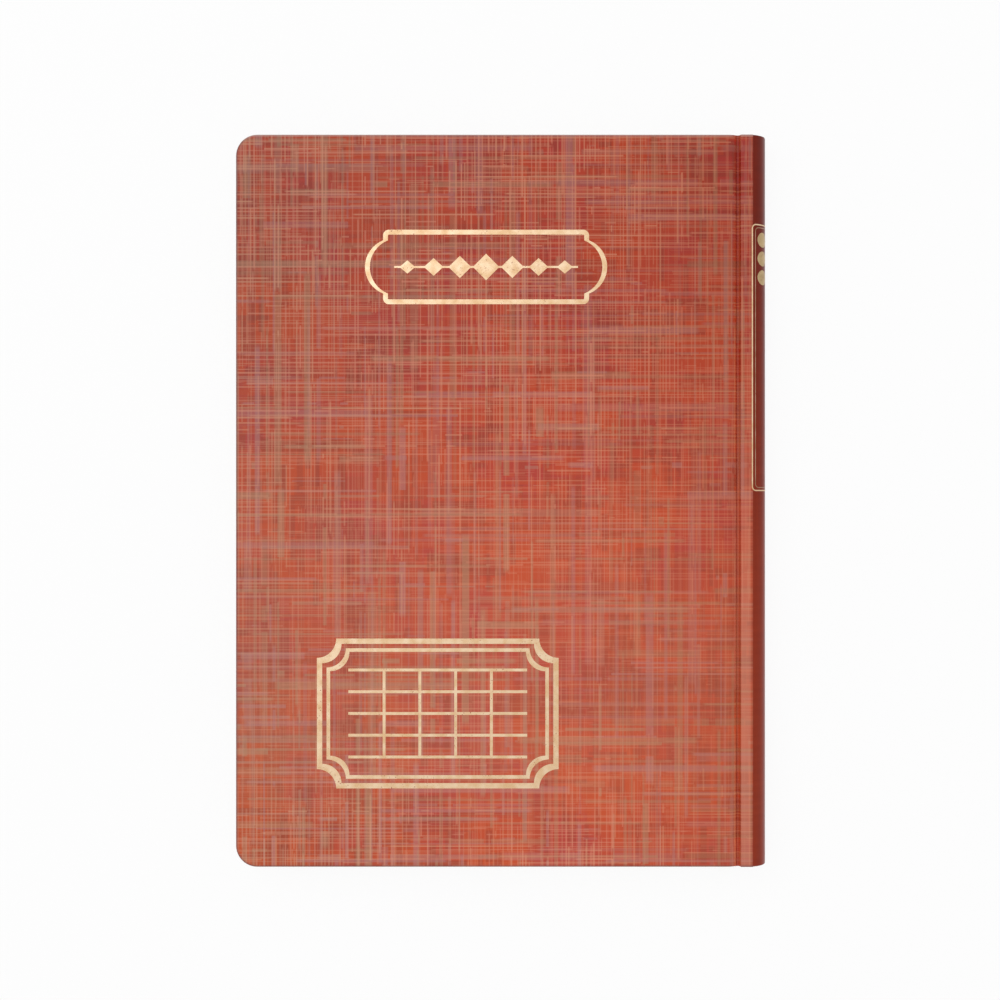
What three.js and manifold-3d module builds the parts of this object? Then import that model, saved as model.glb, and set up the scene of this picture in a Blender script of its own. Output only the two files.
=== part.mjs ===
// A case-bound account book, lying closed on its back cover.
// Millimetres, +Z up, +Y towards the head of the pages, the spine on the +X side.
// Sizes across the book are counted from the covers' fore-edge, at x = 0, and the finished group
// is moved so that its origin is the middle of the face that it lies on.
import * as THREE from 'three';
import { mergeVertices } from 'three/addons/utils/BufferGeometryUtils.js';
import Module from 'manifold-3d';

const wasm = await Module();
wasm.setup();

// Driving sizes: the sewn block of pages
const pageWidth = 210;
const pageHeight = 297;
const pageCornerRadius = 6;
const gatheringCount = 10;
const turnedGatherings = 5;
const gatheringThickness = 1.08;
const endpaperThickness = 0.15;
const backRound = 3.2;
const shoulderRise = 1.5;
const endpaperTipShare = 0.75;

// Driving sizes: the case
const foreEdgeSquare = 3.2;
const headSquare = 3;
const boardThickness = 2.4;
const boardCornerRadius = 8.8;
const wrapThickness = 0.25;
const turnInWidth = 15;
const pastedownThickness = 0.15;
const pastedownMargin = 3;
const jointSetback = 6.2;
const grooveWidth = 2.2;
const grooveDepth = 2.4;
const shoulderWidth = 4.8;
const spineCardThickness = 0.8;
const hollowGap = 1.3;

// Driving sizes: what holds and lines the back of the block
const tapeThickness = 0.25;
const tapeWidth = 12;
const tapeInset = 56.5;
const threadDiameter = 0.4;
const kettleInset = 11;
const mullThickness = 0.2;
const mullInset = 10;
const linerThickness = 0.2;
const linerInset = 4;
const bandDiameter = 1.6;

// Driving sizes: the gold foil on the front cover, and where it lies below the head
const foilThickness = 0.04;
const titleFromHead = 39.4;
const titleWidth = 100.2;
const titleHeight = 30.8;
const titleBulge = 7.5;
const titleNotch = 4.4;
const titleCorner = 2.4;
const titleLine = 2;
const ornamentWidth = 76;
const ornamentHeight = 11;
const ornamentRule = 0.8;
const ornamentLozenges = 7;
const labelFromForeEdge = 33.5;
const labelFromHead = 208.5;
const labelWidth = 100;
const labelHeight = 62;
const labelCornerScoop = 8;
const labelOuterLine = 2.2;
const labelInnerLine = 1.5;
const labelLineGap = 1.8;
const rulingMargin = 7.5;
const rulingLine = 1.2;
const rulingRows = 5;
const rulingColumns = 4;

// Driving sizes: the gold foil on the spine
const spineFrameFromHead = 36.9;
const spineFrameLength = 110.6;
const spineFrameInset = 0.2;
const spineFrameRadius = 2.4;
const spineOuterLine = 0.6;
const spineInnerLine = 0.4;
const spineLineGap = 0.7;
const spineOrnamentFromFrame = 3.3;
const spineOrnamentPitch = 7.8;
const spineOrnamentLength = 6.2;
const spineOrnamentWidth = 6.4;
const spineOrnamentReach = 5.75;
const spineOrnamentCount = 3;
const spineOrnamentStem = 0.5;

// Clearances
const glueLine = 0.05;
const leafClearance = 0.3;
const foilLift = 0.02;
const foldClearance = 0.01;
const hingeRise = 0.1;

// How finely the round stretches are cut
const cornerSegments = 8;
const spineSegments = 16;
const grooveSegments = 8;
const noseSegments = 4;
const backSegments = 12;
const bandSides = 8;
const threadSides = 6;

// Thicknesses through the closed book
const coverThickness = 2 * wrapThickness + boardThickness + pastedownThickness;
const blockThickness = gatheringCount * gatheringThickness + 2 * endpaperThickness;
const bookThickness = 2 * coverThickness + blockThickness;
const middle = bookThickness / 2;

// Places across the book
const boardEdge = foreEdgeSquare + pageWidth - jointSetback;
const grooveEnd = boardEdge + grooveWidth;
const spineStart = grooveEnd + shoulderWidth;
const hingeX = boardEdge + grooveWidth / 2;
const foldX = foreEdgeSquare + pageWidth;
const coverHalfHeight = pageHeight / 2 + headSquare;
const pageHalfHeight = pageHeight / 2;

// The rounded back of the block, an arc about (backCentre, middle)
const backHalf = blockThickness / 2 + shoulderRise;
const backRadius = (backHalf ** 2 + backRound ** 2) / (2 * backRound);
const backCentre = foldX + backRound - backRadius;
const tapeInside = backRadius + glueLine;
const threadInside = tapeInside + tapeThickness + glueLine;
const mullInside = threadInside + threadDiameter + glueLine;
const linerInside = mullInside + mullThickness + glueLine;
const linerOutside = linerInside + linerThickness;

// The rounded spine of the case, an arc about (spineCentre, middle) between the two shoulders
const spineOutside = backCentre + linerOutside + hollowGap + spineCardThickness + glueLine + wrapThickness;
const spineBulge = spineOutside - spineStart;
const spineRadius = (middle ** 2 + spineBulge ** 2) / (2 * spineBulge);
const spineCentre = spineOutside - spineRadius;
const overallWidth = spineOutside + foilLift + foilThickness;

const finish = {
  print: { color: 0xb4674f, roughness: 0.45, metalness: 0 },
  spine: { color: 0x6e2f22, roughness: 0.35, metalness: 0 },
  foil: { color: 0xe2c08c, roughness: 0.3, metalness: 0.9 },
  greyboard: { color: 0x9a8f80, roughness: 0.9, metalness: 0 },
  endpaper: { color: 0xf1ece0, roughness: 0.85, metalness: 0 },
  page: { color: 0xf6f2e6, roughness: 0.85, metalness: 0 },
  cloth: { color: 0xe8e2d2, roughness: 0.95, metalness: 0 },
  kraft: { color: 0xb08c62, roughness: 0.9, metalness: 0 },
  band: { color: 0xb23a2e, roughness: 0.7, metalness: 0 },
};

// Booleans: a closed geometry as a solid, and back
function toSolid(geometry) {
  const bare = geometry.clone();
  bare.deleteAttribute('normal');
  bare.deleteAttribute('uv');
  const merged = mergeVertices(bare, 1e-4);
  return new wasm.Manifold(new wasm.Mesh({
    numProp: 3,
    vertProperties: new Float32Array(merged.attributes.position.array),
    triVerts: new Uint32Array(merged.index.array),
  }));
}

function toGeometry(solid) {
  const mesh = solid.getMesh();
  const geometry = new THREE.BufferGeometry();
  geometry.setAttribute('position', new THREE.BufferAttribute(new Float32Array(mesh.vertProperties), 3));
  geometry.setIndex(new THREE.BufferAttribute(new Uint32Array(mesh.triVerts), 1));
  return geometry;
}

// A plan outline as a plate between two heights, which its faces meet exactly
function plate(shape, low, high) {
  const geometry = new THREE.ExtrudeGeometry(shape, {
    depth: 1,
    bevelEnabled: false,
    curveSegments: cornerSegments,
  });
  const position = geometry.attributes.position;
  for (let i = 0; i < position.count; i += 1) {
    position.setZ(i, position.getZ(i) < 0.5 ? low : high);
  }
  return geometry;
}

// A cross-section of [x, z] points as a bar along Y
function bar(section, from, to) {
  const shape = new THREE.Shape(section.map(([x, z]) => new THREE.Vector2(x, z)));
  const geometry = new THREE.ExtrudeGeometry(shape, { depth: 1, bevelEnabled: false });
  const position = geometry.attributes.position;
  for (let i = 0; i < position.count; i += 1) {
    const atNearEnd = position.getZ(i) < 0.5;
    const height = position.getY(i);
    position.setY(i, atNearEnd ? to : from);
    position.setZ(i, height);
  }
  return geometry;
}

// A plate with square corners at the spine and rounded ones at the fore-edge
function plan(left, right, halfHeight, radius) {
  const shape = new THREE.Shape();
  shape.moveTo(right, -halfHeight);
  shape.lineTo(right, halfHeight);
  shape.lineTo(left + radius, halfHeight);
  shape.absarc(left + radius, halfHeight - radius, radius, Math.PI / 2, Math.PI, false);
  shape.lineTo(left, radius - halfHeight);
  shape.absarc(left + radius, radius - halfHeight, radius, Math.PI, 1.5 * Math.PI, false);
  return shape;
}

// Points on an arc in the cross-section, from one angle to another
function arcPoints(centre, radius, from, to, segments) {
  const points = [];
  for (let i = 0; i <= segments; i += 1) {
    const angle = from + ((to - from) * i) / segments;
    points.push([centre + radius * Math.cos(angle), middle + radius * Math.sin(angle)]);
  }
  return points;
}

// Heights in a cover, counted inwards from its outer face
function inCover(side, outer, inner) {
  return side === 'front' ? [bookThickness - inner, bookThickness - outer] : [outer, inner];
}

// A cover: its board, the wrap turned in round three edges, and the pastedown
function board(side) {
  const inset = wrapThickness + glueLine;
  const [low, high] = inCover(side, wrapThickness, wrapThickness + boardThickness);
  const outline = plan(inset, boardEdge - inset, coverHalfHeight - inset, boardCornerRadius - inset);
  return plate(outline, low, high);
}

function coverWrap(side) {
  const cavityInset = wrapThickness;
  const wrapDepth = 2 * wrapThickness + boardThickness;
  const whole = toSolid(plate(
    plan(0, boardEdge, coverHalfHeight, boardCornerRadius),
    ...inCover(side, 0, wrapDepth),
  ));
  const boardRoom = toSolid(plate(
    plan(
      cavityInset,
      boardEdge - cavityInset,
      coverHalfHeight - cavityInset,
      boardCornerRadius - cavityInset,
    ),
    ...inCover(side, wrapThickness, wrapThickness + boardThickness),
  ));
  const window = toSolid(plate(
    rectangle(turnInWidth, boardEdge + wrapThickness, coverHalfHeight - turnInWidth),
    ...inCover(side, wrapThickness + boardThickness / 2, wrapDepth + wrapThickness),
  ));
  return toGeometry(whole.subtract(boardRoom).subtract(window));
}

function rectangle(left, right, halfHeight) {
  const shape = new THREE.Shape();
  shape.moveTo(left, -halfHeight);
  shape.lineTo(right, -halfHeight);
  shape.lineTo(right, halfHeight);
  shape.lineTo(left, halfHeight);
  return shape;
}

function pastedown(side) {
  const boardFace = wrapThickness + boardThickness;
  const turnInFace = boardFace + wrapThickness;
  const inWindow = turnInWidth + glueLine;
  const pad = toSolid(plate(
    rectangle(inWindow, boardEdge - wrapThickness, coverHalfHeight - inWindow),
    ...inCover(side, boardFace, coverThickness),
  ));
  const sheet = toSolid(plate(
    plan(
      pastedownMargin,
      boardEdge - wrapThickness,
      coverHalfHeight - pastedownMargin,
      boardCornerRadius - pastedownMargin,
    ),
    ...inCover(side, turnInFace, coverThickness),
  ));
  return toGeometry(sheet.add(pad));
}

// The printed sheet between a cover and the spine: it dips into the groove and lies on the shoulder
function jointWrap(side) {
  const shoulderEnd = spineStart - wrapThickness - glueLine;
  const outer = [[shoulderEnd, 0]];
  for (let i = 0; i <= grooveSegments; i += 1) {
    const share = i / grooveSegments;
    const depth = (grooveDepth * (1 - Math.cos(2 * Math.PI * share))) / 2;
    outer.push([grooveEnd - share * (grooveWidth - glueLine), depth]);
  }
  const inner = outer.map(([x, depth]) => [x, depth + wrapThickness]).reverse();
  const section = [...outer, ...inner].map(([x, depth]) => [
    x,
    side === 'front' ? bookThickness - depth : depth,
  ]);
  return bar(section, -coverHalfHeight, coverHalfHeight);
}

// The rounded spine: half of the angle of its arc, and its shape at some depth under its face
const spineHalfAngle = Math.asin(middle / spineRadius);

function spineWrap() {
  const outer = arcPoints(spineCentre, spineRadius, -spineHalfAngle, spineHalfAngle, spineSegments);
  const inside = spineRadius - wrapThickness;
  const inner = arcPoints(spineCentre, inside, spineHalfAngle, -spineHalfAngle, spineSegments);
  return bar([...outer, ...inner], -coverHalfHeight, coverHalfHeight);
}

function spineCardFace(depth) {
  const radius = spineRadius - depth;
  const halfAngle = Math.asin((middle - depth) / radius);
  const start = grooveEnd + wrapThickness;
  return [
    [start, depth],
    ...arcPoints(spineCentre, radius, -halfAngle, halfAngle, spineSegments),
    [start, bookThickness - depth],
  ];
}

function spineCard() {
  const outer = spineCardFace(wrapThickness + glueLine);
  const inner = spineCardFace(wrapThickness + glueLine + spineCardThickness).reverse();
  const halfHeight = coverHalfHeight - wrapThickness - glueLine;
  return bar([...outer, ...inner], -halfHeight, halfHeight);
}

// The block's layers from the back cover up: an endpaper, the gatherings, an endpaper
const layerLevels = [coverThickness];
for (let i = 0; i < gatheringCount + 2; i += 1) {
  const isEndpaper = i === 0 || i === gatheringCount + 1;
  layerLevels.push(layerLevels[i] + (isEndpaper ? endpaperThickness : gatheringThickness));
}

// At the folds the block swells to the height of the shoulders
function atFold(level) {
  return middle + (level - middle) * (backHalf / (blockThickness / 2));
}

function foldTip(low, high) {
  const offset = Math.max(Math.abs(atFold(low) - middle), Math.abs(atFold(high) - middle));
  return backCentre + Math.sqrt(backRadius ** 2 - Math.min(offset, backHalf) ** 2);
}

function foldRadius(low, high) {
  return (atFold(high) - atFold(low)) / 2 - foldClearance;
}

// Where a gathering's faces end and its rounded fold begins
function foldShoulder(low, high) {
  return foldTip(low, high) - foldRadius(low, high);
}

// The closed end of a gathering, from the start x to its rounded fold
function gatheringSection(start, low, high) {
  const radius = foldRadius(low, high);
  const centreX = foldShoulder(low, high);
  const centreZ = (atFold(low) + atFold(high)) / 2;
  const bend = hingeX + leafClearance;
  const section = start < bend ? [[start, low], [bend, low]] : [[bend, low]];
  for (let i = 0; i <= noseSegments; i += 1) {
    const angle = -Math.PI / 2 + (Math.PI * i) / noseSegments;
    section.push([centreX + radius * Math.cos(angle), centreZ + radius * Math.sin(angle)]);
  }
  section.push([bend, high]);
  if (start < bend) section.push([start, high]);
  return section;
}

function gatheringFold(low, high) {
  return bar(gatheringSection(hingeX + leafClearance, low, high), -pageHalfHeight, pageHalfHeight);
}

function wholeGathering(low, high) {
  const tip = foldTip(low, high);
  const foreEdge = tip - pageWidth;
  const pages = toSolid(bar(gatheringSection(foreEdge, low, high), -pageHalfHeight, pageHalfHeight));
  const trim = toSolid(plate(
    plan(foreEdge, tip + jointSetback, pageHalfHeight, pageCornerRadius),
    low - blockThickness,
    high + blockThickness,
  ));
  return toGeometry(pages.intersect(trim));
}

// The leaves of a gathering that turn: flat up to the hinge line
function turningLeaves(low, high) {
  const foreEdge = foldTip(low, high) - pageWidth;
  const outline = plan(foreEdge, hingeX - leafClearance, pageHalfHeight, pageCornerRadius);
  return plate(outline, low, high);
}

// The strip of an endpaper that stays in the joint, tipped on to the outermost gathering
function endpaperFold(low, high) {
  const start = hingeX + leafClearance;
  const shoulder = foldShoulder(layerLevels[1], layerLevels[2]);
  const end = start + endpaperTipShare * (shoulder - start);
  const lowEnd = low + endpaperTipShare * (atFold(low) - low);
  const highEnd = high + endpaperTipShare * (atFold(high) - high);
  const section = [[start, low], [end, lowEnd], [end, highEnd], [start, high]];
  return bar(section, -pageHalfHeight, pageHalfHeight);
}

// Linings: strips of an arc that follows the rounded back
const liningHalfSpan = blockThickness / 2;

function backLining(inside, thickness, from, to) {
  const outside = inside + thickness;
  const halfAngle = Math.asin(liningHalfSpan / inside);
  const outer = arcPoints(backCentre, outside, -halfAngle, halfAngle, backSegments);
  const inner = arcPoints(backCentre, inside, halfAngle, -halfAngle, backSegments);
  return bar([...outer, ...inner], from, to);
}

// One thread runs along each fold and links it to the next one at the head or the tail
function rod(from, to, radius) {
  const length = from.distanceTo(to);
  const geometry = new THREE.CylinderGeometry(radius, radius, length, threadSides);
  const direction = to.clone().sub(from).normalize();
  const turn = new THREE.Quaternion().setFromUnitVectors(new THREE.Vector3(0, 1, 0), direction);
  geometry.applyQuaternion(turn);
  const centre = from.clone().add(to).multiplyScalar(0.5);
  geometry.translate(centre.x, centre.y, centre.z);
  return toSolid(geometry);
}

function sewingThread() {
  const radius = threadDiameter / 2;
  const reach = threadInside + radius;
  const end = pageHalfHeight - kettleInset;
  const stations = [];
  for (let i = 1; i <= gatheringCount; i += 1) {
    const level = (atFold(layerLevels[i]) + atFold(layerLevels[i + 1])) / 2;
    const limited = Math.max(-liningHalfSpan, Math.min(liningHalfSpan, level - middle));
    const angle = Math.asin(limited / reach) * (Math.abs(level - middle) / Math.abs(limited || 1));
    stations.push([backCentre + reach * Math.cos(angle), middle + reach * Math.sin(angle)]);
  }
  let thread = null;
  stations.forEach(([x, z], i) => {
    const run = rod(new THREE.Vector3(x, -end, z), new THREE.Vector3(x, end, z), radius);
    thread = thread ? thread.add(run) : run;
    if (i > 0) {
      const side = i % 2 === 0 ? 1 : -1;
      const y = side * (end - threadDiameter);
      const [lastX, lastZ] = stations[i - 1];
      thread = thread.add(rod(new THREE.Vector3(lastX, y, lastZ), new THREE.Vector3(x, y, z), radius));
    }
  });
  return toGeometry(thread);
}

// A worked band at the head or tail, rolled round the end of the back
class BackArc extends THREE.Curve {
  constructor(radius, y) {
    super();
    this.radius = radius;
    this.y = y;
    this.halfAngle = Math.asin((liningHalfSpan - bandDiameter / 2) / radius);
  }

  getPoint(share) {
    const angle = (2 * share - 1) * this.halfAngle;
    return new THREE.Vector3(
      backCentre + this.radius * Math.cos(angle),
      this.y,
      middle + this.radius * Math.sin(angle),
    );
  }
}

function endBand(side) {
  const radius = bandDiameter / 2;
  const y = side * (pageHalfHeight + glueLine + radius);
  const ring = new THREE.Shape();
  for (let i = 0; i < bandSides; i += 1) {
    const angle = (2 * Math.PI * i) / bandSides;
    const x = radius * Math.cos(angle);
    const z = radius * Math.sin(angle);
    if (i === 0) ring.moveTo(x, z);
    else ring.lineTo(x, z);
  }
  return new THREE.ExtrudeGeometry(ring, {
    steps: backSegments,
    bevelEnabled: false,
    extrudePath: new BackArc(backRadius - radius, y),
  });
}

// Foil outlines on the front cover, drawn about their own centre
function foilPlate(shape, x, y) {
  const geometry = plate(shape, bookThickness, bookThickness + foilThickness);
  geometry.translate(x, y, 0);
  return geometry;
}

// A plaque: straight head and foot, a round step at each corner, and ends that bulge outwards
function plaque(width, height, bulge, notch, inset, line) {
  const halfWidth = width / 2 - inset;
  const halfHeight = height / 2 - inset;
  const neck = halfWidth - bulge;
  const arcHalf = halfHeight - notch + inset;
  const radius = (arcHalf ** 2 + bulge ** 2) / (2 * bulge);
  const sweep = Math.asin(Math.min(1, arcHalf / radius));
  const corner = Math.max(titleCorner - inset, 0.1 * titleCorner);
  const cornerX = neck - corner;
  const cornerY = halfHeight - corner;
  const path = line ? new THREE.Path() : new THREE.Shape();
  path.moveTo(-cornerX, -halfHeight);
  path.lineTo(cornerX, -halfHeight);
  path.absarc(cornerX, -cornerY, corner, -Math.PI / 2, 0, false);
  path.lineTo(neck, -arcHalf);
  path.absarc(halfWidth - radius, 0, radius, -sweep, sweep, false);
  path.lineTo(neck, cornerY);
  path.absarc(cornerX, cornerY, corner, 0, Math.PI / 2, false);
  path.lineTo(-cornerX, halfHeight);
  path.absarc(-cornerX, cornerY, corner, Math.PI / 2, Math.PI, false);
  path.lineTo(-neck, arcHalf);
  path.absarc(radius - halfWidth, 0, radius, Math.PI - sweep, Math.PI + sweep, false);
  path.lineTo(-neck, -cornerY);
  path.absarc(-cornerX, -cornerY, corner, Math.PI, 1.5 * Math.PI, false);
  return path;
}

const titleX = boardEdge / 2;
const titleY = coverHalfHeight - titleFromHead - titleHeight / 2;

function titleFrame() {
  const shape = plaque(titleWidth, titleHeight, titleBulge, titleNotch, 0, false);
  shape.holes.push(plaque(titleWidth, titleHeight, titleBulge, titleNotch, titleLine, true));
  return foilPlate(shape, titleX, titleY);
}

// A row of lozenges on a thin rule, the tallest in the middle
function lozenge(x, width, height) {
  const shape = new THREE.Shape();
  shape.moveTo(x - width / 2, 0);
  shape.lineTo(x, -height / 2);
  shape.lineTo(x + width / 2, 0);
  shape.lineTo(x, height / 2);
  return shape;
}

function titleOrnament() {
  const pitch = ornamentWidth / ornamentLozenges;
  const far = (ornamentLozenges - 1) / 2;
  let row = toSolid(foilPlate(rectangle(-ornamentWidth / 2, ornamentWidth / 2, ornamentRule / 2), 0, 0));
  for (let i = 0; i < ornamentLozenges; i += 1) {
    const place = i - far;
    const height = ornamentHeight * (1 - (0.5 * Math.abs(place)) / far);
    const width = pitch * (1 - (0.4 * Math.abs(place)) / far);
    row = row.add(toSolid(foilPlate(lozenge(place * pitch, width, height), 0, 0)));
  }
  const geometry = toGeometry(row);
  geometry.translate(titleX, titleY, 0);
  return geometry;
}

// A label frame whose corners are scooped out
function scooped(width, height, scoop, asHole) {
  const x = width / 2;
  const y = height / 2;
  const path = asHole ? new THREE.Path() : new THREE.Shape();
  path.moveTo(scoop - x, -y);
  path.lineTo(x - scoop, -y);
  path.absarc(x, -y, scoop, Math.PI, Math.PI / 2, true);
  path.lineTo(x, y - scoop);
  path.absarc(x, y, scoop, 1.5 * Math.PI, Math.PI, true);
  path.lineTo(scoop - x, y);
  path.absarc(-x, y, scoop, 0, -Math.PI / 2, true);
  path.lineTo(-x, scoop - y);
  path.absarc(-x, -y, scoop, Math.PI / 2, 0, true);
  return path;
}

const labelX = labelFromForeEdge + labelWidth / 2;
const labelY = coverHalfHeight - labelFromHead - labelHeight / 2;

// A line of the frame, at some distance inside its outer edge; the scoops stay concentric
function labelLine(inset, line) {
  const outer = 2 * inset;
  const inner = 2 * (inset + line);
  const shape = scooped(labelWidth - outer, labelHeight - outer, labelCornerScoop, false);
  shape.holes.push(scooped(labelWidth - inner, labelHeight - inner, labelCornerScoop, true));
  return foilPlate(shape, labelX, labelY);
}

// Blank account ruling: rows and columns that cross
function labelRuling() {
  const inset = labelOuterLine + labelLineGap + labelInnerLine + rulingMargin;
  const width = labelWidth - 2 * inset;
  const height = labelHeight - 2 * inset;
  const half = rulingLine / 2;
  let ruling = null;
  const join = (shape) => {
    const line = toSolid(foilPlate(shape, 0, 0));
    ruling = ruling ? ruling.add(line) : line;
  };
  for (let i = 0; i < rulingRows; i += 1) {
    const y = height / 2 - (height * i) / (rulingRows - 1);
    const row = new THREE.Shape();
    row.moveTo(-width / 2, y - half);
    row.lineTo(width / 2, y - half);
    row.lineTo(width / 2, y + half);
    row.lineTo(-width / 2, y + half);
    join(row);
  }
  for (let i = 0; i < rulingColumns; i += 1) {
    const x = (width * (i + 1)) / (rulingColumns + 1) - width / 2;
    join(rectangle(x - half, x + half, height / 2));
  }
  const geometry = toGeometry(ruling);
  geometry.translate(labelX, labelY, 0);
  return geometry;
}

// Foil on the rounded spine: an outline in arc length and height, laid on the spine's facets
const spineHalfArc = spineRadius * spineHalfAngle;

function onSpine(shape) {
  const inside = spineRadius + foilLift;
  const outer = arcPoints(
    spineCentre,
    inside + foilThickness,
    -spineHalfAngle,
    spineHalfAngle,
    spineSegments,
  );
  const inner = arcPoints(spineCentre, inside, spineHalfAngle, -spineHalfAngle, spineSegments);
  const skin = toSolid(bar([...outer, ...inner], -coverHalfHeight, coverHalfHeight));
  const points = new THREE.ExtrudeGeometry(shape, {
    depth: 1,
    bevelEnabled: false,
    curveSegments: cornerSegments,
  });
  const position = points.attributes.position;
  const far = spineOutside + foilLift + 2 * foilThickness;
  for (let i = 0; i < position.count; i += 1) {
    const angle = position.getY(i) / spineRadius;
    const along = position.getX(i);
    const depth = position.getZ(i) < 0.5 ? spineCentre : far;
    position.setXYZ(i, depth, along, middle + (inside + foilThickness) * Math.sin(angle));
  }
  return skin.intersect(toSolid(points));
}

// Shapes for the spine are drawn along the book in x, and round the spine in y
function roundedFrame(from, to, halfWidth, radius, asHole) {
  const path = asHole ? new THREE.Path() : new THREE.Shape();
  path.moveTo(from + radius, -halfWidth);
  path.lineTo(to - radius, -halfWidth);
  path.absarc(to - radius, radius - halfWidth, radius, -Math.PI / 2, 0, false);
  path.lineTo(to, halfWidth - radius);
  path.absarc(to - radius, halfWidth - radius, radius, 0, Math.PI / 2, false);
  path.lineTo(from + radius, halfWidth);
  path.absarc(from + radius, halfWidth - radius, radius, Math.PI / 2, Math.PI, false);
  path.lineTo(from, radius - halfWidth);
  path.absarc(from + radius, radius - halfWidth, radius, Math.PI, 1.5 * Math.PI, false);
  return path;
}

const spineFrameHead = coverHalfHeight - spineFrameFromHead;
const spineFrameTail = spineFrameHead - spineFrameLength;

function spineFrameLine(inset, line) {
  const halfWidth = spineHalfArc - spineFrameInset - inset;
  const from = spineFrameTail + inset;
  const to = spineFrameHead - inset;
  const radius = Math.max(spineFrameRadius - inset, 2 * line);
  const shape = roundedFrame(from, to, halfWidth, radius, false);
  const holeRadius = radius - line;
  shape.holes.push(roundedFrame(from + line, to - line, halfWidth - line, holeRadius, true));
  return toGeometry(onSpine(shape));
}

// An oval about a point of the spine, drawn in quarters
function oval(along, around, length, width) {
  const shape = new THREE.Shape();
  shape.moveTo(along + length / 2, around);
  for (let quarter = 0; quarter < 4; quarter += 1) {
    const from = (Math.PI / 2) * quarter;
    shape.absellipse(along, around, length / 2, width / 2, from, from + Math.PI / 2, false, 0);
  }
  return shape;
}

// Pairs of ovals on either side of a stem that runs along the spine, joined by thin bars
function spineOrnament() {
  const half = spineOrnamentStem / 2;
  const first = spineFrameHead - spineOrnamentFromFrame - spineOrnamentLength / 2;
  const last = first - (spineOrnamentCount - 1) * spineOrnamentPitch;
  let row = onSpine(rectangle(last - half, first + half, half));
  for (let i = 0; i < spineOrnamentCount; i += 1) {
    const place = first - i * spineOrnamentPitch;
    row = row.add(onSpine(rectangle(place - half, place + half, spineOrnamentReach)));
    for (const side of [-1, 1]) {
      const around = side * spineOrnamentReach;
      row = row.add(onSpine(oval(place, around, spineOrnamentLength, spineOrnamentWidth)));
    }
  }
  return toGeometry(row);
}

const book = new THREE.Group();

function add(name, geometry, look) {
  const mesh = new THREE.Mesh(geometry, new THREE.MeshStandardMaterial(look));
  mesh.name = name;
  book.add(mesh);
}

function numbered(name, number) {
  return `${name}_${String(number).padStart(2, '0')}`;
}

function addCover(side) {
  add(`${side}_board`, board(side), finish.greyboard);
  add(`${side}_wrap`, coverWrap(side), finish.print);
  add(`${side}_pastedown`, pastedown(side), finish.endpaper);
  add(`${side}_joint_wrap`, jointWrap(side), finish.print);
}

function addSpine() {
  add('spine_wrap', spineWrap(), finish.spine);
  add('spine_card', spineCard(), finish.greyboard);
}

// Gathering 1 lies uppermost, under the front cover
function addBlock() {
  const top = gatheringCount + 1;
  add('front_flyleaf', turningLeaves(layerLevels[top], layerLevels[top + 1]), finish.endpaper);
  add('front_endpaper_fold', endpaperFold(layerLevels[top], layerLevels[top + 1]), finish.endpaper);
  for (let number = 1; number <= gatheringCount; number += 1) {
    const low = layerLevels[top - number];
    const high = layerLevels[top - number + 1];
    if (number <= turnedGatherings) {
      add(numbered('gathering_leaves', number), turningLeaves(low, high), finish.page);
      add(numbered('gathering_fold', number), gatheringFold(low, high), finish.page);
    } else {
      add(numbered('gathering', number), wholeGathering(low, high), finish.page);
    }
  }
  add('back_flyleaf', turningLeaves(layerLevels[0], layerLevels[1]), finish.endpaper);
  add('back_endpaper_fold', endpaperFold(layerLevels[0], layerLevels[1]), finish.endpaper);
}

function addBacking() {
  const tapes = { sewing_tape_head: 1, sewing_tape_middle: 0, sewing_tape_tail: -1 };
  Object.entries(tapes).forEach(([name, place]) => {
    const y = place * (pageHalfHeight - tapeInset);
    const tape = backLining(tapeInside, tapeThickness, y - tapeWidth / 2, y + tapeWidth / 2);
    add(name, tape, finish.cloth);
  });
  add('sewing_thread', sewingThread(), finish.cloth);
  const mullEnd = pageHalfHeight - mullInset;
  add('mull', backLining(mullInside, mullThickness, -mullEnd, mullEnd), finish.cloth);
  const linerEnd = pageHalfHeight - linerInset;
  add('spine_liner', backLining(linerInside, linerThickness, -linerEnd, linerEnd), finish.kraft);
  add('headband', endBand(1), finish.band);
  add('tailband', endBand(-1), finish.band);
}

function addFoil() {
  add('title_frame_foil', titleFrame(), finish.foil);
  add('title_ornament_foil', titleOrnament(), finish.foil);
  add('label_outer_foil', labelLine(0, labelOuterLine), finish.foil);
  add('label_inner_foil', labelLine(labelOuterLine + labelLineGap, labelInnerLine), finish.foil);
  add('label_ruling_foil', labelRuling(), finish.foil);
  add('spine_frame_outer_foil', spineFrameLine(0, spineOuterLine), finish.foil);
  add('spine_frame_inner_foil', spineFrameLine(spineOuterLine + spineLineGap, spineInnerLine), finish.foil);
  add('spine_ornament_foil', spineOrnament(), finish.foil);
}

addCover('front');
addCover('back');
addSpine();
addBlock();
addBacking();
addFoil();

// The covers and leaves turn about lines through these points, along Y
book.userData.frontHinge = [hingeX - overallWidth / 2, 0, bookThickness + hingeRise];
book.userData.backHinge = [hingeX - overallWidth / 2, 0, -hingeRise];
book.position.x = -overallWidth / 2;

export default book;
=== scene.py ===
"""Looks of a case-bound account book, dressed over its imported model.

Metres, +Z up, +Y towards the head of the pages, the spine on the +X side. Sizes that a maker would
know are dataclass fields in millimetres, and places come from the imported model's boxes.
"""

import logging
import math
import random
from collections.abc import Callable
from dataclasses import dataclass
from enum import Enum
from functools import cached_property, reduce

import bmesh
import bpy
from mathutils import Matrix, Vector


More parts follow.
